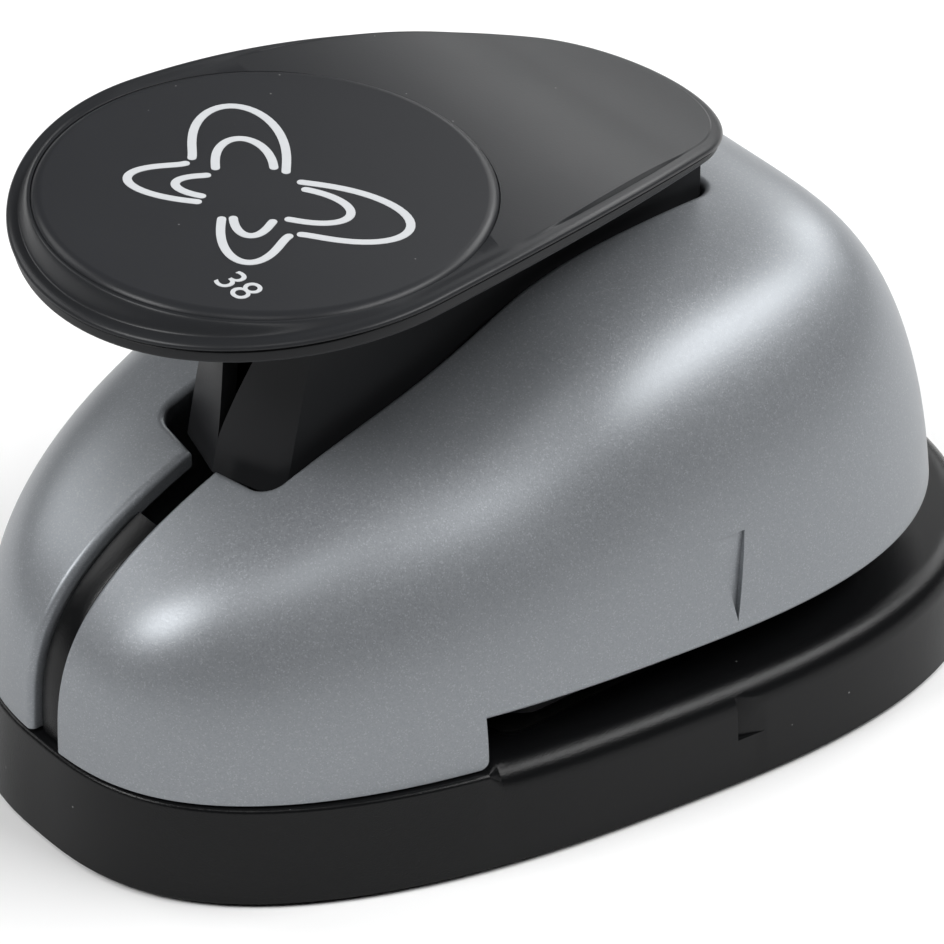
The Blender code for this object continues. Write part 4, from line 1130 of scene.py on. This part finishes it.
# Print on the pad: a plain butterfly of broken double lines, and a number beside the rim
printing = {"width": 0.88, "thickness": 0.05, "sink": 0.02}
butterfly = {
    "y": -1.4,
    "halfWidth": 14.6,
    # each lobe's reach, middle angle from the top and spread
    "lobes": ((3.2, radians(62), radians(31)), (2.2, radians(130), radians(24))),
    # each stroke's scale, and its first and last angle from the top, in degrees
    "strokes": ((1.0, 14, 96), (1.0, 104, 160), (0.62, 30, 92), (0.62, 108, 150)),
}
number = {"text": "38", "size": 4.6, "x": 12.2, "y": -12.6}


def padPoint(x, y, rise):
    return x, lever["padY"] + y, lever["level"] - y * lever["slopeShare"] + rise


def ribbon(points):
    # a flat stroke with round ends along points, on the pad's face
    half = printing["width"] / 2
    capAngles = [pi / 6 * k for k in range(-2, 3)]
    sides = ([], [])
    for k, point in enumerate(points):
        before, after = points[max(k - 1, 0)], points[min(k + 1, len(points) - 1)]
        along = Vector((after[0] - before[0], after[1] - before[1])).normalized()
        for side, row in zip((-1, 1), sides):
            row.append((point[0] - along.y * half * side, point[1] + along.x * half * side))
    caps = []
    for end, other in ((points[-1], points[-2]), (points[0], points[1])):
        course = atan2(end[1] - other[1], end[0] - other[0])
        caps.append([(end[0] + half * cos(course + angle), end[1] + half * sin(course + angle))
                     for angle in capAngles])
    outline = sides[0] + caps[0] + sides[1][::-1] + caps[1]
    rises = (-printing["sink"], printing["thickness"])
    return loft([[padPoint(x, y, rise) for x, y in outline] for rise in rises])


def wingReach(angle):
    lobes = (size * exp(-((angle - middle) / spread) ** 2) for size, middle, spread in butterfly["lobes"])
    return 1 + sum(lobes)


def makeButterfly(finish, steps=40):
    shape = bmesh.new()
    widest = max(wingReach(radians(angle)) * sin(radians(angle)) for angle in range(180))
    for scale, start, end in butterfly["strokes"]:
        for side in (-1, 1):
            points = []
            for k in range(steps + 1):
                angle = radians(start + (end - start) * k / steps)
                reach = wingReach(angle) * scale * butterfly["halfWidth"] / widest
                points.append((side * reach * sin(angle), butterfly["y"] + reach * cos(angle)))
            stroke = ribbon(points)
            mesh = bpy.data.meshes.new("stroke")
            stroke.to_mesh(mesh)
            stroke.free()
            shape.from_mesh(mesh)
    piece = addPiece("butterflyPrint", shape)
    dress(piece, finish, "white_plastic", "lever")


def makeNumber(finish):
    curve = bpy.data.curves.new("number", "FONT")
    curve.body = number["text"]
    curve.size = number["size"] * mm
    curve.extrude = printing["thickness"] / 2 * mm
    curve.align_x, curve.align_y = "CENTER", "CENTER"
    text = bpy.data.objects.new("number", curve)
    bpy.context.scene.collection.objects.link(text)
    graph = bpy.context.evaluated_depsgraph_get()
    mesh = bpy.data.meshes.new_from_object(text.evaluated_get(graph))
    bpy.data.objects.remove(text)
    spot = Vector(padPoint(number["x"], number["y"], printing["thickness"] / 2)) * mm
    tilt = Matrix.Rotation(-atan2(lever["slopeShare"], 1), 4, "X")
    mesh.transform(Matrix.Translation(spot) @ tilt)
    piece = bpy.data.objects.new("padNumber", mesh)
    bpy.context.scene.collection.objects.link(piece)
    dress(piece, finish, "white_plastic", "lever")


# Return springs: the coils are copied from the model and finished; the share they keep when the punch goes
# down is worked out but not used
def makeSprings(finish):
    slide = joints["punch_slide"]
    travel = slide["range_m"][1] / mm
    for item in slide["deforming_nodes"]:
        low, high = boxOf(item["node"])
        piece = bpy.data.objects.new("coil_" + item["node"], frame["nodes"][item["node"]].data.copy())
        bpy.context.scene.collection.objects.link(piece)
        dress(piece, finish, "steel", "housing", item["node"])
        keep = 1 - travel / (high.z - low.z)
        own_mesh(piece)


# Floor
def makeFloor():
    half = studio["floorHalf"]
    corners = rectangle(-half, half, -half, half)
    shape = bmesh.new()
    shape.faces.new([shape.verts.new((x, y, studio["floorZ"])) for x, y in corners])
    piece = addPiece("floor", shape)
    dark, light = ((shade, shade, shade) for shade in studio["floorShades"])
    made = Finish("floorWhite", light, studio["floorRoughness"], 0.0, studio["floorSpecular"])
    made.set({"Base Color": made.blend(made.noise(studio["floorCloud"]), dark, light)})
    piece.data.materials.append(made.material)


joints = {joint["name"]: joint for joint in frame["record"]["behaviour"]["joints"]}
pivot = Vector(joints["lever_hinge"]["pos_m"]) / mm

addCamera()
addStudio()
makeFloor()
print("Camera, lights and floor made")

silver = silverPaint()
leverBlack, padBlack, webShadedBlack, baseBlack, frameShadeBlack = (blackPlastic(name) for name in blacks)
white, steel, zinc, acetal = (cloudedFinish(name) for name in shades)
print("Finishes made")

makeBase(baseBlack)
print("Base made")
makeShell(silver)
makeFrontStrip(baseBlack)
print("Shell made")
# the web gets the darker copy of the lever plastic, as painted shade under the lip
makeLeverBody(webShadedBlack)
makeLeverCover(leverBlack)
makePadDisc(padBlack)
print("Lever made")
makeButterfly(white)
makeNumber(white)
print("Print made")
makeSprings(steel)
print("Springs made")

# every node that still shows is steel, but for these
# the punch frame is coloured near-black, as painted shade inside the paper slot
carried = {"punch_frame": frameShadeBlack, "punch_head": zinc, "press_pad": acetal,
           "hinge_washer_left": acetal, "hinge_washer_right": acetal}
for name, item in frame["nodes"].items():
    if not item.hide_render:
        for slot in item.material_slots:
            slot.material = carried.get(name, steel).material
print("Inner pieces finished")
